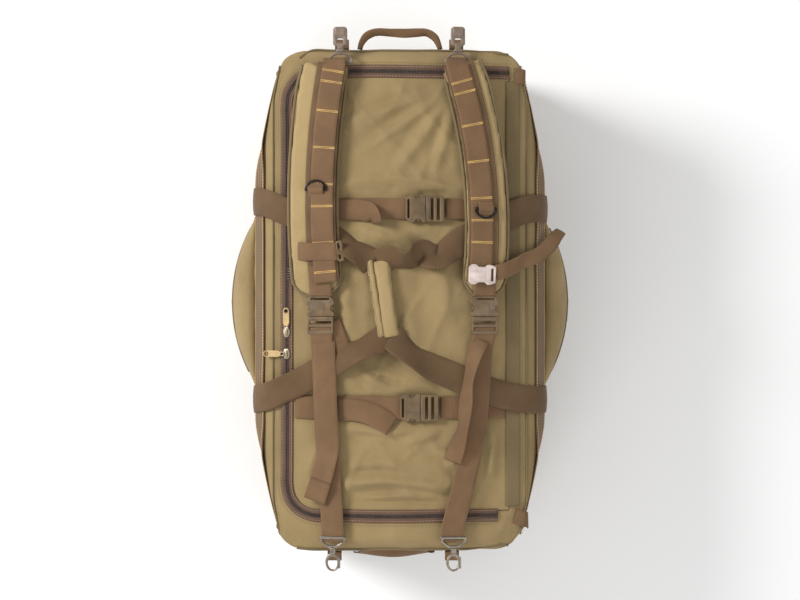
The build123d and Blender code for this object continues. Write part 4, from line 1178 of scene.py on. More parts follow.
def pocket_line(side, z, x0, x1, lift, step=4.0):
    """A line along the pocket at a height, with its outward vectors."""
    x = np.linspace(x0, x1, 90)
    low, _ = pocket_low(x)
    line = pocket_point(side, x, (z - low) / (POCKET_TOP_Z - low), lift, folds=False)
    line = resample(line[::3], step)
    return line, outward(side, line)


def outward(side, line):
    radial = line - np.array([POCKET_MID, side * POCKET_AXIS_Y, 0])
    radial[:, 2] = 0
    return unit(radial)


for label, side in SIDES.items():
    a = np.linspace(POCKET_X0, POCKET_X1, 84)
    xx, bb = np.meshgrid(a, np.linspace(0, 1, 60), indexing="ij")
    p = pocket_point(side, xx, bb)
    if side > 0:
        p, bb = p[::-1], bb[::-1]
    uv = np.stack([p[..., 0], bb * 240], -1)
    skin(f"pocket_{label}", p, 2.0, CLOTH_SIDE, "root", uv, replaces=f"side_pocket_{label}",
         slot="body_fabric")
    line, up = pocket_line(side, POCKET_ZIP_Z, -108, 113, 0.9)
    ribbon(f"pocket_zip_{label}", line, up, 19, TAPE, "root", thickness=1.0, replaces="pocket_zips",
           slot="zip_tape")
    for row, offset in (("a", -1.5), ("b", 1.5)):
        teeth, up = pocket_line(side, POCKET_ZIP_Z + offset, -106, 111, 2.0)
        teeth = resample(teeth, 2.1)
        up = outward(side, teeth)
        across, _ = path_frame(teeth, up)
        capsules(f"pocket_coil_{label}_{row}", teeth, across, up, 3.0, 0.8, COIL, "root", slot="zip_tape")
    for z, x0, x1 in ((POCKET_ZIP_Z - 13, -124, 129), (POCKET_ZIP_Z + 13, -122, 127)):
        line, up = pocket_line(side, z, x0, x1, 0.7)
        cord(f"pocket_piping_{label}_{int(z)}", line, up, 1.5, SEAM, "root", slot="webbing")
    # Binding round the pocket's seam on the bag
    low_edge = resample(pocket_point(side, a, 0 * a, 0.4, folds=False)[::4], 5)
    cord(f"pocket_seam_{label}", low_edge, outward(side, low_edge), 1.6, SEAM, "root", slot="body_fabric")
    # Slider and puller, which hangs down on both sides
    at = Vector((POCKET_MID * MM, side * (POCKET_AXIS_Y + POCKET_R + 2.9) * MM, POCKET_ZIP_Z * MM))
    place = Matrix.Translation(at) @ Matrix.Rotation(-side * pi / 2, 4, "X")
    slider = Moulding(place, ZIP_METAL)
    slider.add(mirrored([(-8, 3), (-3, 5.5), (3, 5.5), (8, 3)], 1.5), 2.2, 0.5)
    if side > 0:
        slider.place = place @ Matrix.Rotation(pi, 4, "Z")
    slider.add(rounded([(-2.5, -4), (2.5, -4), (3.4, -28), (0, -31), (-3.4, -28)], 1.5), 1.4, 0.4, 1.6,
               [box_outline(-1.3, 1.3, -27, -22, 1)])
    slider.join(f"pocket_puller_{label}", f"pocket_slider_{label}", f"pocket_slider_{label}")


# ---------------------------------------------------------------- buckles
def side_release_buckle(name, place, female_body, male_body, female_node, male_node):
    """A side-release buckle: windows at the sides, prongs that bulge in them, a two-slot ladder."""
    half = [(-32, 17), (-25, 22.5), (-19, 22.8), (-16, 17.2), (-9, 17.2), (-6, 22.8), (0, 22.8)]
    female = Moulding(place, BUCKLE)
    for height in (3.3, -3.3):
        female.add(mirrored(half, 2.5), 2.3, 0.9, height, [box_outline(-29.5, -26.2, -15.5, 15.5, 1.2)])
    female.add(box_outline(-22, -2, -7, 7, 2.5), 1.0, 0.4, 4.6)
    for wall in ((-25.5, -22, -17, 17), (-32, -30, -15, 15), (-5, -1, 19, 22.4), (-5, -1, -22.4, -19)):
        female.add(box_outline(*wall, 0.6), 4.8, 0.3)
    female.join(f"{name}_female", female_body, female_node)
    male = Moulding(place, BUCKLE)
    slots = [box_outline(x, x + 4.5, -18, 18, 1) for x in (8.5, 18.5)]
    male.add(box_outline(0.6, 30, -21.5, 21.5, 3), 8.0, 1.6, 0, slots)
    male.add(box_outline(3.0, 5.6, -15, 15, 1), 1.0, 0.4, 4.2)
    prong = [(-21.5, 10.5), (-21, 15), (-16, 20.6), (-9.5, 20.9), (-7.5, 17), (1.5, 16.5), (1.5, 11),
             (-8, 12.4), (-15, 15.2), (-18.5, 10.5)]
    for side in (-1, 1):
        ring = [(x, side * y) for x, y in prong[::side]]
        male.add(rounded(ring, 1.5), 3.9, 1.0)
    male.add(box_outline(-17, 1.5, -2.2, 2.2, 1), 3.6, 0.8)
    male.join(f"{name}_male", male_body, male_node)


CROSS = {"upper": (-148, 9, 34), "lower": (175, 0, 37)}  # x, the buckle's y, the webbing's width
for label, (x, y, _) in CROSS.items():
    side_release_buckle(f"cross_buckle_{label}", crown_matrix(x, y + 32, 2.8 + 4.5, 90), "lid",
                        f"cross_buckle_{label}", "cross_buckle_females", f"cross_buckle_male_{label}")
BUCKLE_Y = {"left": -126, "right": 134}
for label, y in BUCKLE_Y.items():
    side_release_buckle(f"strap_buckle_{label}", crown_matrix(26, y, 12.2 + 4.5), f"shoulder_strap_{label}",
                        f"strap_buckle_{label}", f"strap_buckle_female_{label}", f"strap_buckle_male_{label}")

# ---------------------------------------------------------------- straps across the lid
for label, (x, y, width) in CROSS.items():
    rows = [(x, -172, 1.3), (x + 1, -120, 1.5), (x - 1, -60, 1.6), (x, y - 20, 2.2), (x, y + 6, 4.0)]
    strap(f"cross_strap_{label}_a", rows, width, "lid", arch=0.4, replaces=f"cross_strap_{label}")
    rows = [(x, y + 66, 4.0), (x, y + 78, 2.2), (x + 1, 120, 1.4), (x, 174, 1.3)]
    strap(f"cross_strap_{label}_b", rows, width, "lid", arch=0.4)
# Loose tails: the upper one doubles back and droops, the lower one slants off towards the wheel end
strap("cross_tail_upper", [
    (-148, -118, 3.2), (-147, -90, 3.8), (-146, -66, 5.0, 4), (-143, -50, 9, 18), (-136, -41, 13, 48),
    (-124, -37, 12, 62),
], 34, "lid", arch=0.8)
strap("cross_tail_lower", [
    (178, -104, 3.2), (179, -74, 4.0), (184, -50, 5.5, -6), (194, -28, 8, -12), (205, -12, 7, -16),
], 36, "lid", arch=1.2)

# ---------------------------------------------------------------- carry handles
LEGS = {
    "left_head": [
        (-165, -run_to_height(-165, 236), 3.2, 0), (-164, -run_to_height(-164, 262), 3.4, 0),
        (-160, -226, 6.0, 0), (-146, -190, 9.5, 14), (-128, -152, 7.6, 4), (-112, -126, 7.4, -4),
        (-98, -104, 9, -22), (-84, -80, 15, -46), (-72, -60, 14, -30), (-60, -44, 10, 6),
    ],
    "left_foot": [
        (58, -20, 10, 0), (70, -40, 13, 26), (80, -62, 17, 44), (92, -88, 15, 24), (110, -122, 8, 0),
        (128, -152, 7.6, -4), (146, -190, 10, -18), (160, -226, 6.5, -4),
        (166, -run_to_height(166, 262), 3.4, 0), (167, -run_to_height(167, 236), 3.2, 0),
    ],
    "right_head": [
        (-60, -34, 10, 0), (-70, -14, 14, 34), (-64, 10, 15, 58), (-76, 34, 12, 14), (-66, 58, 15, -44),
        (-82, 82, 11, -14), (-100, 106, 7.6, 4), (-116, 140, 7.4, 0), (-134, 172, 8.4, 10),
        (-146, 200, 6.5, 4), (-150, 222, 4.2, 0), (-152, run_to_height(-152, 262), 3.6, 0),
    ],
    "right_foot": [
        (58, -14, 10, 0), (74, 0, 13, -30), (92, 22, 14, -42), (108, 50, 12, -16), (122, 82, 10, 0),
        (136, 112, 7.6, 0), (148, 144, 7.4, 0), (156, 172, 8.4, -10), (162, 200, 6.5, -4),
        (164, 222, 4.2, 0), (165, run_to_height(165, 262), 3.6, 0),
    ],
}


def clear_lift(run, lift, turn):
    """A turned stretch stands high enough that its lower edge clears the lid."""
    return lift if abs(run) > 150 else max(lift, 4.6 + 22.6 * abs(sin(radians(turn))))


for name, controls in LEGS.items():
    controls = [(x, run, clear_lift(run, lift, turn), turn) for x, run, lift, turn in controls]
    path, up, roll = skin_path(controls, 4.5)
    hand = name.split("_")[0]
    leg = ribbon(f"carry_leg_{name}", path, up, 48, WEB_50, None, thickness=1.8, roll=roll, arch=1.6,
                 narrow=np.full(len(path), 0.94), replaces=f"carry_handle_{hand}", slot="webbing")
    if hand == "left":
        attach(leg, "root")
        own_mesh(leg)
    else:
        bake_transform(leg)

# ---------------------------------------------------------------- padded pieces
def settled(obj):
    """The object's mesh with its modifiers applied."""
    bpy.context.view_layer.update()
    obj.data = bpy.data.meshes.new_from_object(obj.evaluated_get(bpy.context.evaluated_depsgraph_get()))
    obj.modifiers.clear()
    return obj.data


def vertex_places(mesh):
    places = np.zeros(len(mesh.vertices) * 3)
    mesh.vertices.foreach_get("co", places)
    return places.reshape(-1, 3)


def puffed(obj, cap, pressure=4.0, voxel=5.0, frames=20):
    """Remeshes a closed piece and inflates it as cloth, each point moving at most cap millimetres."""
    remesh = obj.modifiers.new("remesh", "REMESH")
    remesh.mode, remesh.voxel_size = "VOXEL", voxel * MM
    mesh = settled(obj)
    start = vertex_places(mesh)
    cloth = obj.modifiers.new("cloth", "CLOTH")
    cloth.settings.use_pressure = True
    cloth.settings.uniform_pressure_force = pressure
    cloth.settings.effector_weights.gravity = 0
    cloth.settings.quality = 5
    cloth.settings.tension_stiffness = 12
    cloth.settings.compression_stiffness = 12
    cloth.settings.shrink_min = -0.02
    cloth.point_cache.frame_start, cloth.point_cache.frame_end = 1, frames
    scene = bpy.context.scene
    for step in range(1, frames + 1):
        scene.frame_set(step)
    moved = obj.evaluated_get(bpy.context.evaluated_depsgraph_get()).to_mesh()
    travel = vertex_places(moved) - start
    obj.modifiers.clear()
    far = np.linalg.norm(travel, axis=1, keepdims=True)
    end = start + travel * np.minimum(1, cap * MM / np.maximum(far, 1e-9))
    mesh.vertices.foreach_set("co", end.ravel())
    scene.frame_set(1)
    obj.modifiers.new("smooth", "SMOOTH").iterations = 2
    finer = obj.modifiers.new("finer", "SUBSURF")
    finer.levels = finer.render_levels = 1
    smoothed(settled(obj))


def pad_shape(points, up, width, thickness, ends, power=4.0):
    """Closed points of a pad along a path: ends gives the width's share at each path point."""
    across, true_up = path_frame(points, up)
    a = np.concatenate([np.linspace(-1, 1, 17), np.linspace(1, -1, 17)[1:-1]])
    thick = np.sqrt(np.clip(1 - np.abs(a) ** power, 0, 1)) * np.where(np.arange(len(a)) < 17, 1, -1)
    ring = (
        points[:, None] + across[:, None] * (a[None, :, None] * width / 2 * ends[:, None, None])
        + true_up[:, None] * (thick[None, :, None] * thickness / 2 * np.minimum(1, ends * 1.6)[:, None, None])
    )
    n, m = ring.shape[:2]
    faces = [(i * m + j, (i + 1) * m + j, (i + 1) * m + (j + 1) % m, i * m + (j + 1) % m)
             for i in range(n - 1) for j in range(m)]
    faces += [tuple(range(m)), tuple((n - 1) * m + k for k in reversed(range(m)))]
    return ring, faces, across


def wrinkled(pad):
    """Wrinkles the top of a pad, which stays under the webbing that lies on it."""
    co = vertex_places(pad.data) / MM
    wrinkle = 0.9 * noise_at(co, (26, 40, 40), 31) + 1.3 * (creases(co, (24, 90, 60), 32, 7) - 0.2)
    wrinkle = wrinkle * (co[:, 2] > crown_z(co[:, 1], 15))
    highest = crown_z(co[:, 1]) + 22.4 - 0.14 * np.maximum(co[:, 0] + 52, 0)
    co[:, 2] = np.minimum(co[:, 2] + wrinkle, highest)
    pad.data.vertices.foreach_set("co", (co * MM).ravel())


def tack_row(body, centre, across, up):
    """A zigzag row of stitches across the overlay."""
    row = resample(np.array([centre + across * 16.5, centre - across * 16.5]), 2.6)
    zigzag = np.array([[0.9 * (-1) ** i, 0, 0] for i in range(len(row))])
    rows = tack_stitching.rows.setdefault(body, [[], [], []])
    rows[0].append(row)
    rows[1].append(np.tile(-across * 2.4, (len(row), 1)) + zigzag)
    rows[2].append(np.tile(up, (len(row), 1)))


PAD_SHIFT = {"left": -8.0, "right": 2.0}
PAD_WIDTH = {"left": 84.0, "right": 73.0}
PAD_MIDDLE = 10.6 + 5.6
BAND_SHIFT = {"left": 13.5, "right": -7.0}
BAND_LIFT, OVERLAY_LIFT, TACK_LIFT = 23.4, 25.2, 26.35
OVERLAY_BULGE = {"left": 2.2, "right": 1.0}
TACKS = {
    "left": (-372, -352, -308, -246, -190, -152, -94, -46),
    "right": (-352, -336, -282, -222, -166, -128, -92, -40),
}
for side in SIDES:
    body = f"shoulder_strap_{side}"
    inward = -SIDES[side]
    route = arc_route(*PAD_ROUTE[side])
    ahead = (route[-1] - route[-2]) / np.linalg.norm(route[-1] - route[-2])
    more = route[-1] + ahead * np.linspace(6, 44, 8)[:, None]
    route = np.concatenate([[2 * route[0] - route[1]], route, more])
    rows = np.column_stack([route, np.zeros(len(route))])
    coarse = rows[::3] if (len(rows) - 1) % 3 == 0 else np.concatenate([rows[::3], rows[-1:]])
    xy = resample(coarse, 6)[:, :2]
    xy[:, 1] += PAD_SHIFT[side]
    points, up = on_crown(xy[:, 0], xy[:, 1], np.full(len(xy), PAD_MIDDLE)), crown_up(xy[:, 1])
    run = np.linspace(0, 1, len(xy))
    foot_end = np.sqrt(np.clip(1 - np.clip((run - 0.9) / 0.1, 0, 1) ** 2, 0.02, 1))
    ends = foot_end * (0.90 + 0.10 * smooth_step(0, 0.12, run))
    ring, faces, across = pad_shape(points, up, PAD_WIDTH[side] + 3, 9.4, ends, 8.0)
    pad = make(f"pad_{side}", ring, faces, CLOTH_PAD, None)
    puffed(pad, 3.0)
    wrinkled(pad)
    dress(pad, CLOTH_PAD, body, f"shoulder_pad_{side}")
    # Binding round the pad's edge
    reach = ((PAD_WIDTH[side] / 2 - 1.6) * ends)[:, None]
    edge = resample(np.concatenate([points + across * reach, (points - across * reach)[::-1]])[::2], 5)
    cord(f"pad_binding_{side}", edge, crown_up(edge[:, 1]), 2.6, PIPING, body, slot="body_fabric")

    # Webbing on the pad: a wide band, and an overlay that is tacked down at intervals
    band_xy = xy[(xy[:, 0] > -384) & (xy[:, 0] < -24)]
    band_xy[:, 1] += BAND_SHIFT[side]
    xs, ys = band_xy.T
    band, band_up = on_crown(xs, ys, BAND_LIFT), crown_up(ys)
    ribbon(f"strap_band_{side}", band, band_up, 50, WEB_BAND, body, thickness=1.3,
           replaces=f"strap_webbing_{side}", slot="webbing")
    sew_edges(body, band, band_up, 22.5, 0.95)
    tacks = TACKS[side]
    from_tack = np.min([np.abs(xs - t) for t in tacks], axis=0)
    over_lift = OVERLAY_LIFT + OVERLAY_BULGE[side] * smooth_step(3, 18, from_tack)
    lead = on_crown(np.array([-392.0, -388]), np.full(2, ys[0] + inward), np.array([16.0, 19.0]))
    over = np.concatenate([lead, on_crown(xs, ys + inward * 3, over_lift)])
    over_up = np.concatenate([np.tile(band_up[:1], (2, 1)), band_up])
    ribbon(f"strap_overlay_{side}", over, over_up, 37, WEB_38, body, thickness=1.7, arch=0.5, slot="webbing")
    across, _ = path_frame(band, band_up)
    for t in tacks:
        if xs[0] <= t <= xs[-1]:
            k = int(np.argmin(np.abs(xs - t)))
            centre = on_crown(xs[k], ys[k] + inward * 3, TACK_LIFT)
            for offset in (-1.1, 1.1):
                tack_row(body, centre + [offset, 0, 0], across[k], band_up[k])

    # From the pad to the buckle, and from the buckle to the foot hook
    y = BUCKLE_Y[side]
    strap(f"strap_short_{side}", [(-56, y, 24.4), (-40, y, 24.8), (-18, y, 22.0), (-4, y, 17.6)], 37, body,
          thickness=1.7, arch=0.4)
    (x1, y1), *bend, (foot_x, foot_y) = FOOT_ROUTE[side]
    mid_x, mid_y = bend[0] if bend else ((x1 + foot_x) / 2, (y1 + foot_y) / 2 - 3)
    lower, lower_up, _ = skin_path([
        (38, y, 15.2), (50, y, 18.5), (64, y + (mid_y - y) * 0.1, 17.5), (90, y + (mid_y - y) * 0.3, 12.0),
        (mid_x, mid_y, 11.4), (300, mid_y + (foot_y - mid_y) * 0.55, 11.6), (372, foot_y - 1, 12.6),
        (392, foot_y, 14.8),
    ])
    # The lower webbing rides on no body; its stitches near the foot ride on the strap
    limp = ribbon(f"strap_lower_{side}", lower, lower_up, 37, WEB_38, None, thickness=1.7, arch=0.3,
                  slot="webbing")
    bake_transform(limp)
    held = lower[:, 0] > 305
    sew_edges(body, lower[held], lower_up[held], 17.0, 1.0)

# Loose tails of the foot webbing
path, up, roll = skin_path([
    (66, -122, 15.0), (120, -120, 14.6), (180, -118, 14.6), (232, -115, 15.2, 2), (262, -118, 18, 14),
    (292, -126, 18, 10), (326, -137, 15, 2),
])
ribbon("strap_tail_left", path, up, 37, WEB_38, "strap_buckle_left", roll=roll, arch=0.6, slot="webbing")
path, up, roll = path[-8:], up[-8:], roll[-8:]
ribbon("strap_tail_hem_left", path + up * 2.2, up, 37, WEB_38, "strap_buckle_left", roll=roll, slot="webbing")
strap("strap_tail_right", [
    (64, 128, 16, 10), (90, 118, 19, 46), (130, 108, 21, 66), (170, 104, 20, 52), (206, 100, 20, 64),
    (236, 92, 16, 40), (262, 84, 12, 18),
], 30, "strap_buckle_right", arch=2.0)
strap("strap_stub_left", [
    (34, -108, 11.5, -14), (60, -98, 10.5, -14), (84, -90, 8.0, -10), (102, -86, 5.5, 0),
], 24, "shoulder_strap_left", arch=0.8)

# Handle wrap: two padded panels that close over the webbing, with a slit between them
wrap_line = np.array([(-64, -37.0, 0), (-40, -33, 0), (-10, -28, 0), (24, -23, 0), (60, -17, 0)])
wrap_xy = resample(wrap_line, 5)[:, :2]
for name, offset, width, lift, thick in (("wide", -5.0, 31, 10.5, 9.0), ("flap", 13.5, 14, 12.5, 7.0)):
    x, y = wrap_xy[:, 0], wrap_xy[:, 1] - offset * 0.9
    points, up = on_crown(x, y, lift), crown_up(y)
    ring, faces, across = pad_shape(points, up, width, thick, np.ones(len(points)), 3.0)
    wrap = make(f"handle_wrap_{name}", ring, faces, CLOTH_PAD, None)
    puffed(wrap, 2.5, voxel=4.0)
    dress(wrap, CLOTH_PAD, "lid", "handle_wrap")
    for sign in (-1, 1):
        seam = points + across * sign * (width / 2 - 3.4) + up * (thick / 2 - 0.6)
        stitching.seam("lid", seam, up, raised=0.5)

# ---------------------------------------------------------------- rings, hooks and sternum strap
BAR_REACH, RING_HALF = 1.75, 17.2
for side, ring_x, ring_y, bow in (("left", -176, -131, -1), ("right", -150, 134, 1)):
    place = crown_matrix(ring_x, ring_y, 24.8 + 1.8 + 1.3 + 1.6)
    a = np.linspace(-pi / 2, pi / 2, 26)
    arc = np.stack([bow * (BAR_REACH + 15.5 * np.cos(a)), RING_HALF * np.sin(a), 0 * a], -1)
    bar_y = np.linspace(RING_HALF, -RING_HALF, 12)[1:-1]
    bar = np.stack([np.full(10, bow * BAR_REACH), bar_y, np.zeros(10)], -1)
    ring = np.array([place @ Vector(q * MM) for q in np.concatenate([arc, bar])]) / MM
    up = np.tile(np.array(place.to_3x3() @ Vector((0, 0, 1))), (len(ring), 1))
    cord(f"ring_{side}", ring, up, 1.6, RING, f"d_ring_{side}", steps=10, closed=True,
         replaces=f"d_ring_{side}", slot="ring_metal")
    # The loop of webbing that holds the ring's bar
    along = np.array([-11.0, -7, -3.4, 0, 3.4, 7, 11])
    lifts = np.array([27.4, 28.2, 31.3, 32.5, 31.3, 28.2, 27.4])
    keeper = resample(on_crown(ring_x + bow * BAR_REACH + along, np.full(7, float(ring_y)), lifts), 1.6)
    ribbon(f"ring_keeper_{side}", keeper, crown_up(keeper[:, 1]), 25, WEB_38, f"shoulder_strap_{side}",
           thickness=1.3, slot="webbing")


def hook(where, side, x, y, turn, material):
    """A strap's ladder and its hook; local x points away from the bag."""
    place = crown_matrix(x, y, 15, turn)
    ladder = Moulding(place, material)
    hole = mirrored([(-15, 16.5), (-11.6, 16.5), (-5.4, 6)], 1.5)
    ladder.add(mirrored([(-20, 22), (-13, 22), (-0.5, 8)], 3), 5.0, 1.8, 0, [hole])
    ladder.join(f"hook_loop_{where}_{side}", f"shoulder_strap_{side}", f"hook_ladders_{side}")
    made = Moulding(place, material)
    if where == "head":
        outline = mirrored([(1, 4.5), (8, 4.5), (10, 11.5), (38, 11.5)], 3)
        made.add(outline, 6.5, 1.8, 0, [box_outline(13.5, 21, -5, 5, 2)])
        made.add(box_outline(24, 39, -8.6, 8.6, 3), 9.0, 1.6)
        made.add(box_outline(-1.5, 4, -6.5, 6.5, 2), 9.0, 1.5)
        made.add(box_outline(32, 39.5, -9.5, 9.5, 3), 8.6, 1.5)
    else:
        made.add(ellipse(22, 0, -15.0, 12.0, 36)[::-1], 4.2, 1.6, 0, [ellipse(23, 0, -10.6, 7.8, 30)[::-1]])
        made.add(box_outline(-1.5, 9, -4.5, 4.5, 2), 7.0, 1.8)
        made.add(box_outline(14, 32, 9.0, 12.2, 1.2), 5.4, 0.8)
    made.join(f"hook_{where}_{side}", f"{where}_hook_{side}", f"{where}_hook_{side}")


HOOK_Y = {"left": (-95, -107), "right": (92, 85)}
for side, (head_y, foot_y) in HOOK_Y.items():
    hook("head", side, -403, head_y, 180, HOOK)
    hook("foot", side, 403, foot_y, 0, HOOK_METAL)

# Left half: a keeper across the strap, its buckle at the inner end
strap("sternum_band_left", [
    (-79, -166, 17.0), (-79, -156, 25.6), (-78, -140, 28.8), (-78, -118, 29.0), (-78, -104, 28.4),
    (-79, -97, 27.0),
], 29, "sternum_strap_left", thickness=1.6, arch=0.5, replaces="sternum_strap_left")
buckle = Moulding(crown_matrix(-79, -93.5, 28.0, 8), BUCKLE)
buckle.add(box_outline(-17, 17, -5.5, 6.5, 4), 5.0, 1.8, 0, [box_outline(-13, 13, -2.4, 0.6, 1)])
buckle.add(box_outline(-15, 15, 2.5, 5.5, 1.4), 7.6, 1.2)
buckle.join("sternum_buckle_left", "sternum_strap_left", "sternum_strap_left")
# Right half: a pale buckle on the strap and a tail that folds and curls up beyond it
path, up, roll = skin_path([
    (-44, 150, 30.5), (-48, 166, 29.5, 4), (-54, 180, 24, 10), (-62, 196, 20, 18), (-68, 208, 20, -16),
    (-76, 222, 21, -34), (-88, 236, 22, -48), (-104, 250, 25, -58), (-114, 262, 30, -66),
])
narrow = np.interp(np.linspace(0, 1, len(path)), [0, 0.8, 1], [1, 1, 0.75])
loose = ribbon("sternum_band_right", path, up, 25, WEB_38, "sternum_strap_right", thickness=1.5, roll=roll,
               arch=1.0, narrow=narrow, replaces="sternum_strap_right", slot="webbing")
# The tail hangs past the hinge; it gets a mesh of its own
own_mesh(loose)
buckle = Moulding(crown_matrix(-41, 128, 31.2, 88), PALE_PLASTIC)
half = [(-23, 12), (-18, 16.5), (-11, 16.5), (-7, 12.5), (4, 12.5), (8, 16.5), (14, 16), (22, 13)]
buckle.add(mirrored(half, 2), 5.6, 1.5, 0, [box_outline(14, 18, -10, 10, 1)])
buckle.add(box_outline(-16, 4, -5, 5, 2), 1.0, 0.4, 3.0)
buckle.join("sternum_buckle_right", "sternum_strap_right")
strap("sternum_under_right", [(-42, 104, 27.6), (-42, 118, 29.0), (-43, 140, 29.0), (-44, 150, 29.6)], 24,
      "sternum_strap_right", thickness=1.3)


# ---------------------------------------------------------------- grab handles and tabs
def grab_handle(end, rows, width, up_hint):
    """A limp webbing loop; rows are x, y, z and roll."""
    fine = resample(rows, 4)
    path = fine[:, :3]
    up = np.tile(unit(np.array(up_hint, float)), (len(path), 1))
    share = np.linspace(0, 1, len(path))
    narrow = 0.55 + 0.45 * smooth_step(0, 0.2, share) * smooth_step(1, 0.8, share)
    ribbon(f"grab_handle_{end}", path, up, width, WEB_38, f"{end}_handle", thickness=2.2, roll=fine[:, 3],
           arch=1.4, narrow=narrow, replaces=f"{end}_handle", slot="webbing")


grab_handle("head", [
    (-411, -66, 318, 0), (-422, -63, 318, 10), (-434, -54, 318, 30), (-440, -38, 318, 44),
    (-439, -14, 318, 36), (-438, 8, 318, 10), (-439, 28, 318, 26), (-439, 44, 318, 44),
    (-431, 57, 318, 30), (-420, 63, 318, 12), (-411, 66, 318, 0),
], 15, (0, 0, 1))
grab_handle("foot", [
    (416, -72, 296, 0), (417, -70, 284, -10), (419, -60, 269, -24), (421, -40, 264, -40),
    (422, -16, 263, -52), (422, 8, 264, -40), (420, 30, 266, -26), (418, 44, 272, -14),
    (416, 50, 284, -6), (416, 52, 296, 0),
], 20, (1, 0, 0))
for name, y0, y1, z, end in (
    ("head_l", -78, -54, 318, -1), ("head_r", 54, 78, 318, -1),
    ("foot_l", -84, -62, 298, 1), ("foot_r", 42, 64, 298, 1),
):
    # A patch of webbing sewn to the end, where the handle leaves it
    x, y = end * (HALF_LENGTH + 0.9), (y0 + y1) / 2
    path = resample([(x, y, z - 22), (x, y, z - 12), (x, y, z + 8)], 4)
    up = np.tile([float(end), 0, 0], (len(path), 1))
    ribbon(f"handle_patch_{name}", path, up, y1 - y0, WEB_38, "root", thickness=1.2, slot="webbing")
# Loops that the strap hooks would clip to; an outline is the reach from the end panel and the height
TAB_OUTLINE = ((1.4, 300), (1.6, 318), (5, 329.4), (14, 330.6), (19, 328), (14, 325.4), (5, 324.6),
               (3.6, 316), (3.4, 300))
for name, y, end in (("head_l", -95, -1), ("head_r", 92, -1), ("foot_l", -107, 1), ("foot_r", 85, 1)):
    path = resample([(end * (HALF_LENGTH + reach), y, z) for reach, z in TAB_OUTLINE], 2.2)
    t = unit(np.gradient(path, axis=0))
    up = unit(np.cross(t, np.tile([0.0, 1.0, 0.0], (len(path), 1)))) * end
    ribbon(f"anchor_tab_{name}", path, up, 23, WEB_38, "root", thickness=1.5, replaces="webbing_tabs",
           slot="webbing")
for name, rows in (
    ("head", [(-366, 190, 2.2), (-366, 197, 3.0), (-365, 206, 3.0), (-364, 214, 1.6)]),
    ("foot", [(354, 190, 2.2), (356, 197, 3.2), (360, 206, 5.5), (364, 218, 8)]),
):
    path, up, _ = skin_path(rows, 2.5)
    ribbon(f"zip_end_tab_{name}", path, up, 25, WEB_38, "root", thickness=2.6, slot="webbing",
           replaces="webbing_tabs")

# ---------------------------------------------------------------- zip sliders and their tabs
EYELET_X = 34
for label, x, swing in (("head", 52, 180), ("wheel", 88, -90)):
    slider = Moulding(crown_matrix(x, -185, 0), ZIP_METAL)
    slider.add(mirrored([(-8.5, 3.2), (-2, 5.6), (2, 5.6), (8.5, 3.2)], 1.6), 1.8, 0.6, 3.1)
    slider.add(box_outline(-6, 6, -1.6, 1.6, 1.2), 1.2, 0.5, 6.9)
    for post in (-4.6, 4.6):
        slider.add(box_outline(post - 1, post + 1, -1.5, 1.5, 0.6), 3.6, 0.3, 5.2)
    slider.join(f"slider_{label}", f"zip_slider_{label}", f"zip_slider_{label}")
    turned = crown_matrix(x, -185, 2.2 + 2.3 + 0.8, swing)
    body = f"zip_pull_{label}"
    link = Moulding(turned, ZIP_METAL)
    link.add(box_outline(3.6, 11.5, -3.6, 3.6, 2), 1.3, 0.5, 0, [box_outline(5.0, 10.0, -2.2, 2.2, 1)])
    link.join(f"pull_link_{label}", body, ())
    tab = Moulding(turned, PULL)
    hole = ellipse(EYELET_X, 0, 2.5, 2.5, 18)
    tab.add(mirrored([(9.5, 3.0), (14, 5.4), (35, 5.4), (39.4, 3)], 2.4), 1.9, 0.6, 0, [hole])
    tab.join(f"pull_tab_{label}", body, body)
    eyelet = Moulding(turned, BUCKLE)
    eyelet.add(ellipse(EYELET_X, 0, 3.9, 3.9, 20), 2.7, 0.4, 0, [ellipse(EYELET_X, 0, 2.4, 2.4, 20)])
    eyelet.join(f"pull_eyelet_{label}", body, ())

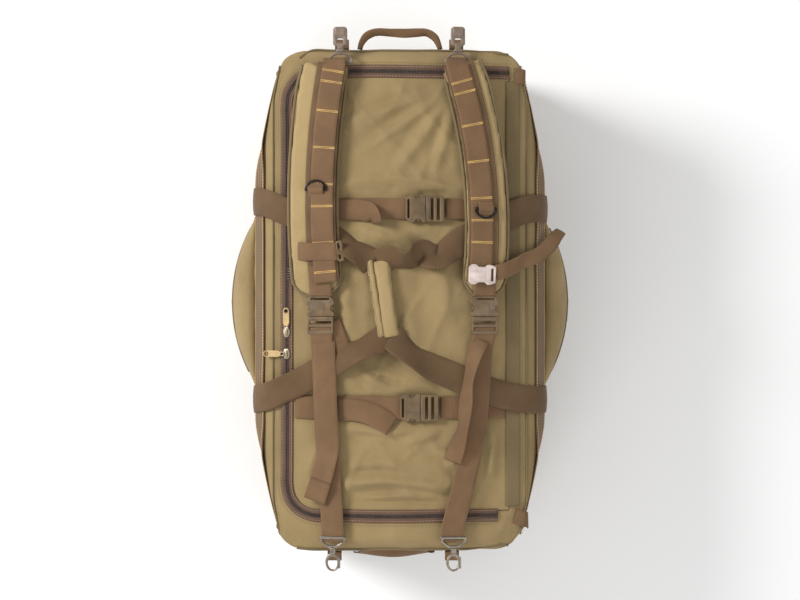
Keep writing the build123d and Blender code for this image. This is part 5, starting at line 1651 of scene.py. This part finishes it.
# A dark ribbed knot of cord lies beside the left pad, on the zip
knot_parts = []
for k in range(5):
    a = np.linspace(0, 2 * pi, 22, endpoint=False)
    path = on_crown(-52 + 4.0 * k + 1.2 * np.sin(a), -173 + 9.5 * np.cos(a), 6.4 + 4.2 * np.sin(a))
    up = unit(path - path.mean(0))
    knot_parts.append(cord(f"knot_{k}", path, up, 1.7, COIL, None, closed=True))
joined("cord_knot", knot_parts, "lid", ())

stitching.make("stitch", 3.2, 0.34, THREAD_TAN, "webbing")
pale_stitching.make("stitch_zip", 3.2, 0.38, THREAD_PALE, "zip_tape")
tack_stitching.make("stitch_tack", 3.0, 0.5, THREAD, "webbing")

# ---------------------------------------------------------------- floor, light and camera
floor_mesh = bpy.data.meshes.new("floor")
reach = 30.0
corners = [(-reach, -reach, 0), (reach, -reach, 0), (reach, reach, 0), (-reach, reach, 0)]
floor_mesh.from_pydata(corners, [], [(0, 1, 2, 3)])
floor = linked("floor", floor_mesh)
paper = Surface("floor_paper", 0.9, specular=0.1)
tone = paper.mix(paper.noise(400, 2), srgb(238, 238, 238), srgb(242, 242, 242))
floor_mesh.materials.append(paper.done(tone))

world = bpy.data.worlds.new("studio")
bpy.context.scene.world = world
world.use_nodes = True
world.node_tree.nodes["Background"].inputs["Color"].default_value = (1.0, 1.0, 1.0, 1)
world.node_tree.nodes["Background"].inputs["Strength"].default_value = 0.56


def area_light(name, location, size, power, target=(0, 0, 0.2)):
    light = bpy.data.lights.new(name, "AREA")
    light.shape, light.size, light.energy = "DISK", size, power
    holder = linked(name, light)
    holder.location = location
    holder.rotation_euler = (Vector(target) - Vector(location)).to_track_quat("-Z", "Y").to_euler()


area_light("key", (-1.2, -2.5, 2.2), 1.1, 105)
area_light("fill", (0.9, 2.0, 3.0), 2.6, 36)
area_light("rim", (2.6, -1.0, 1.6), 1.6, 22)

camera_data = bpy.data.cameras.new("camera")
camera_data.lens = 85
camera_data.sensor_width = 36
camera = linked("camera", camera_data)
camera.location = (0.0, 0.0, 3.42)
camera.rotation_euler = (0, 0, pi / 2)
bpy.context.scene.camera = camera
bpy.context.scene.view_settings.view_transform = "Standard"
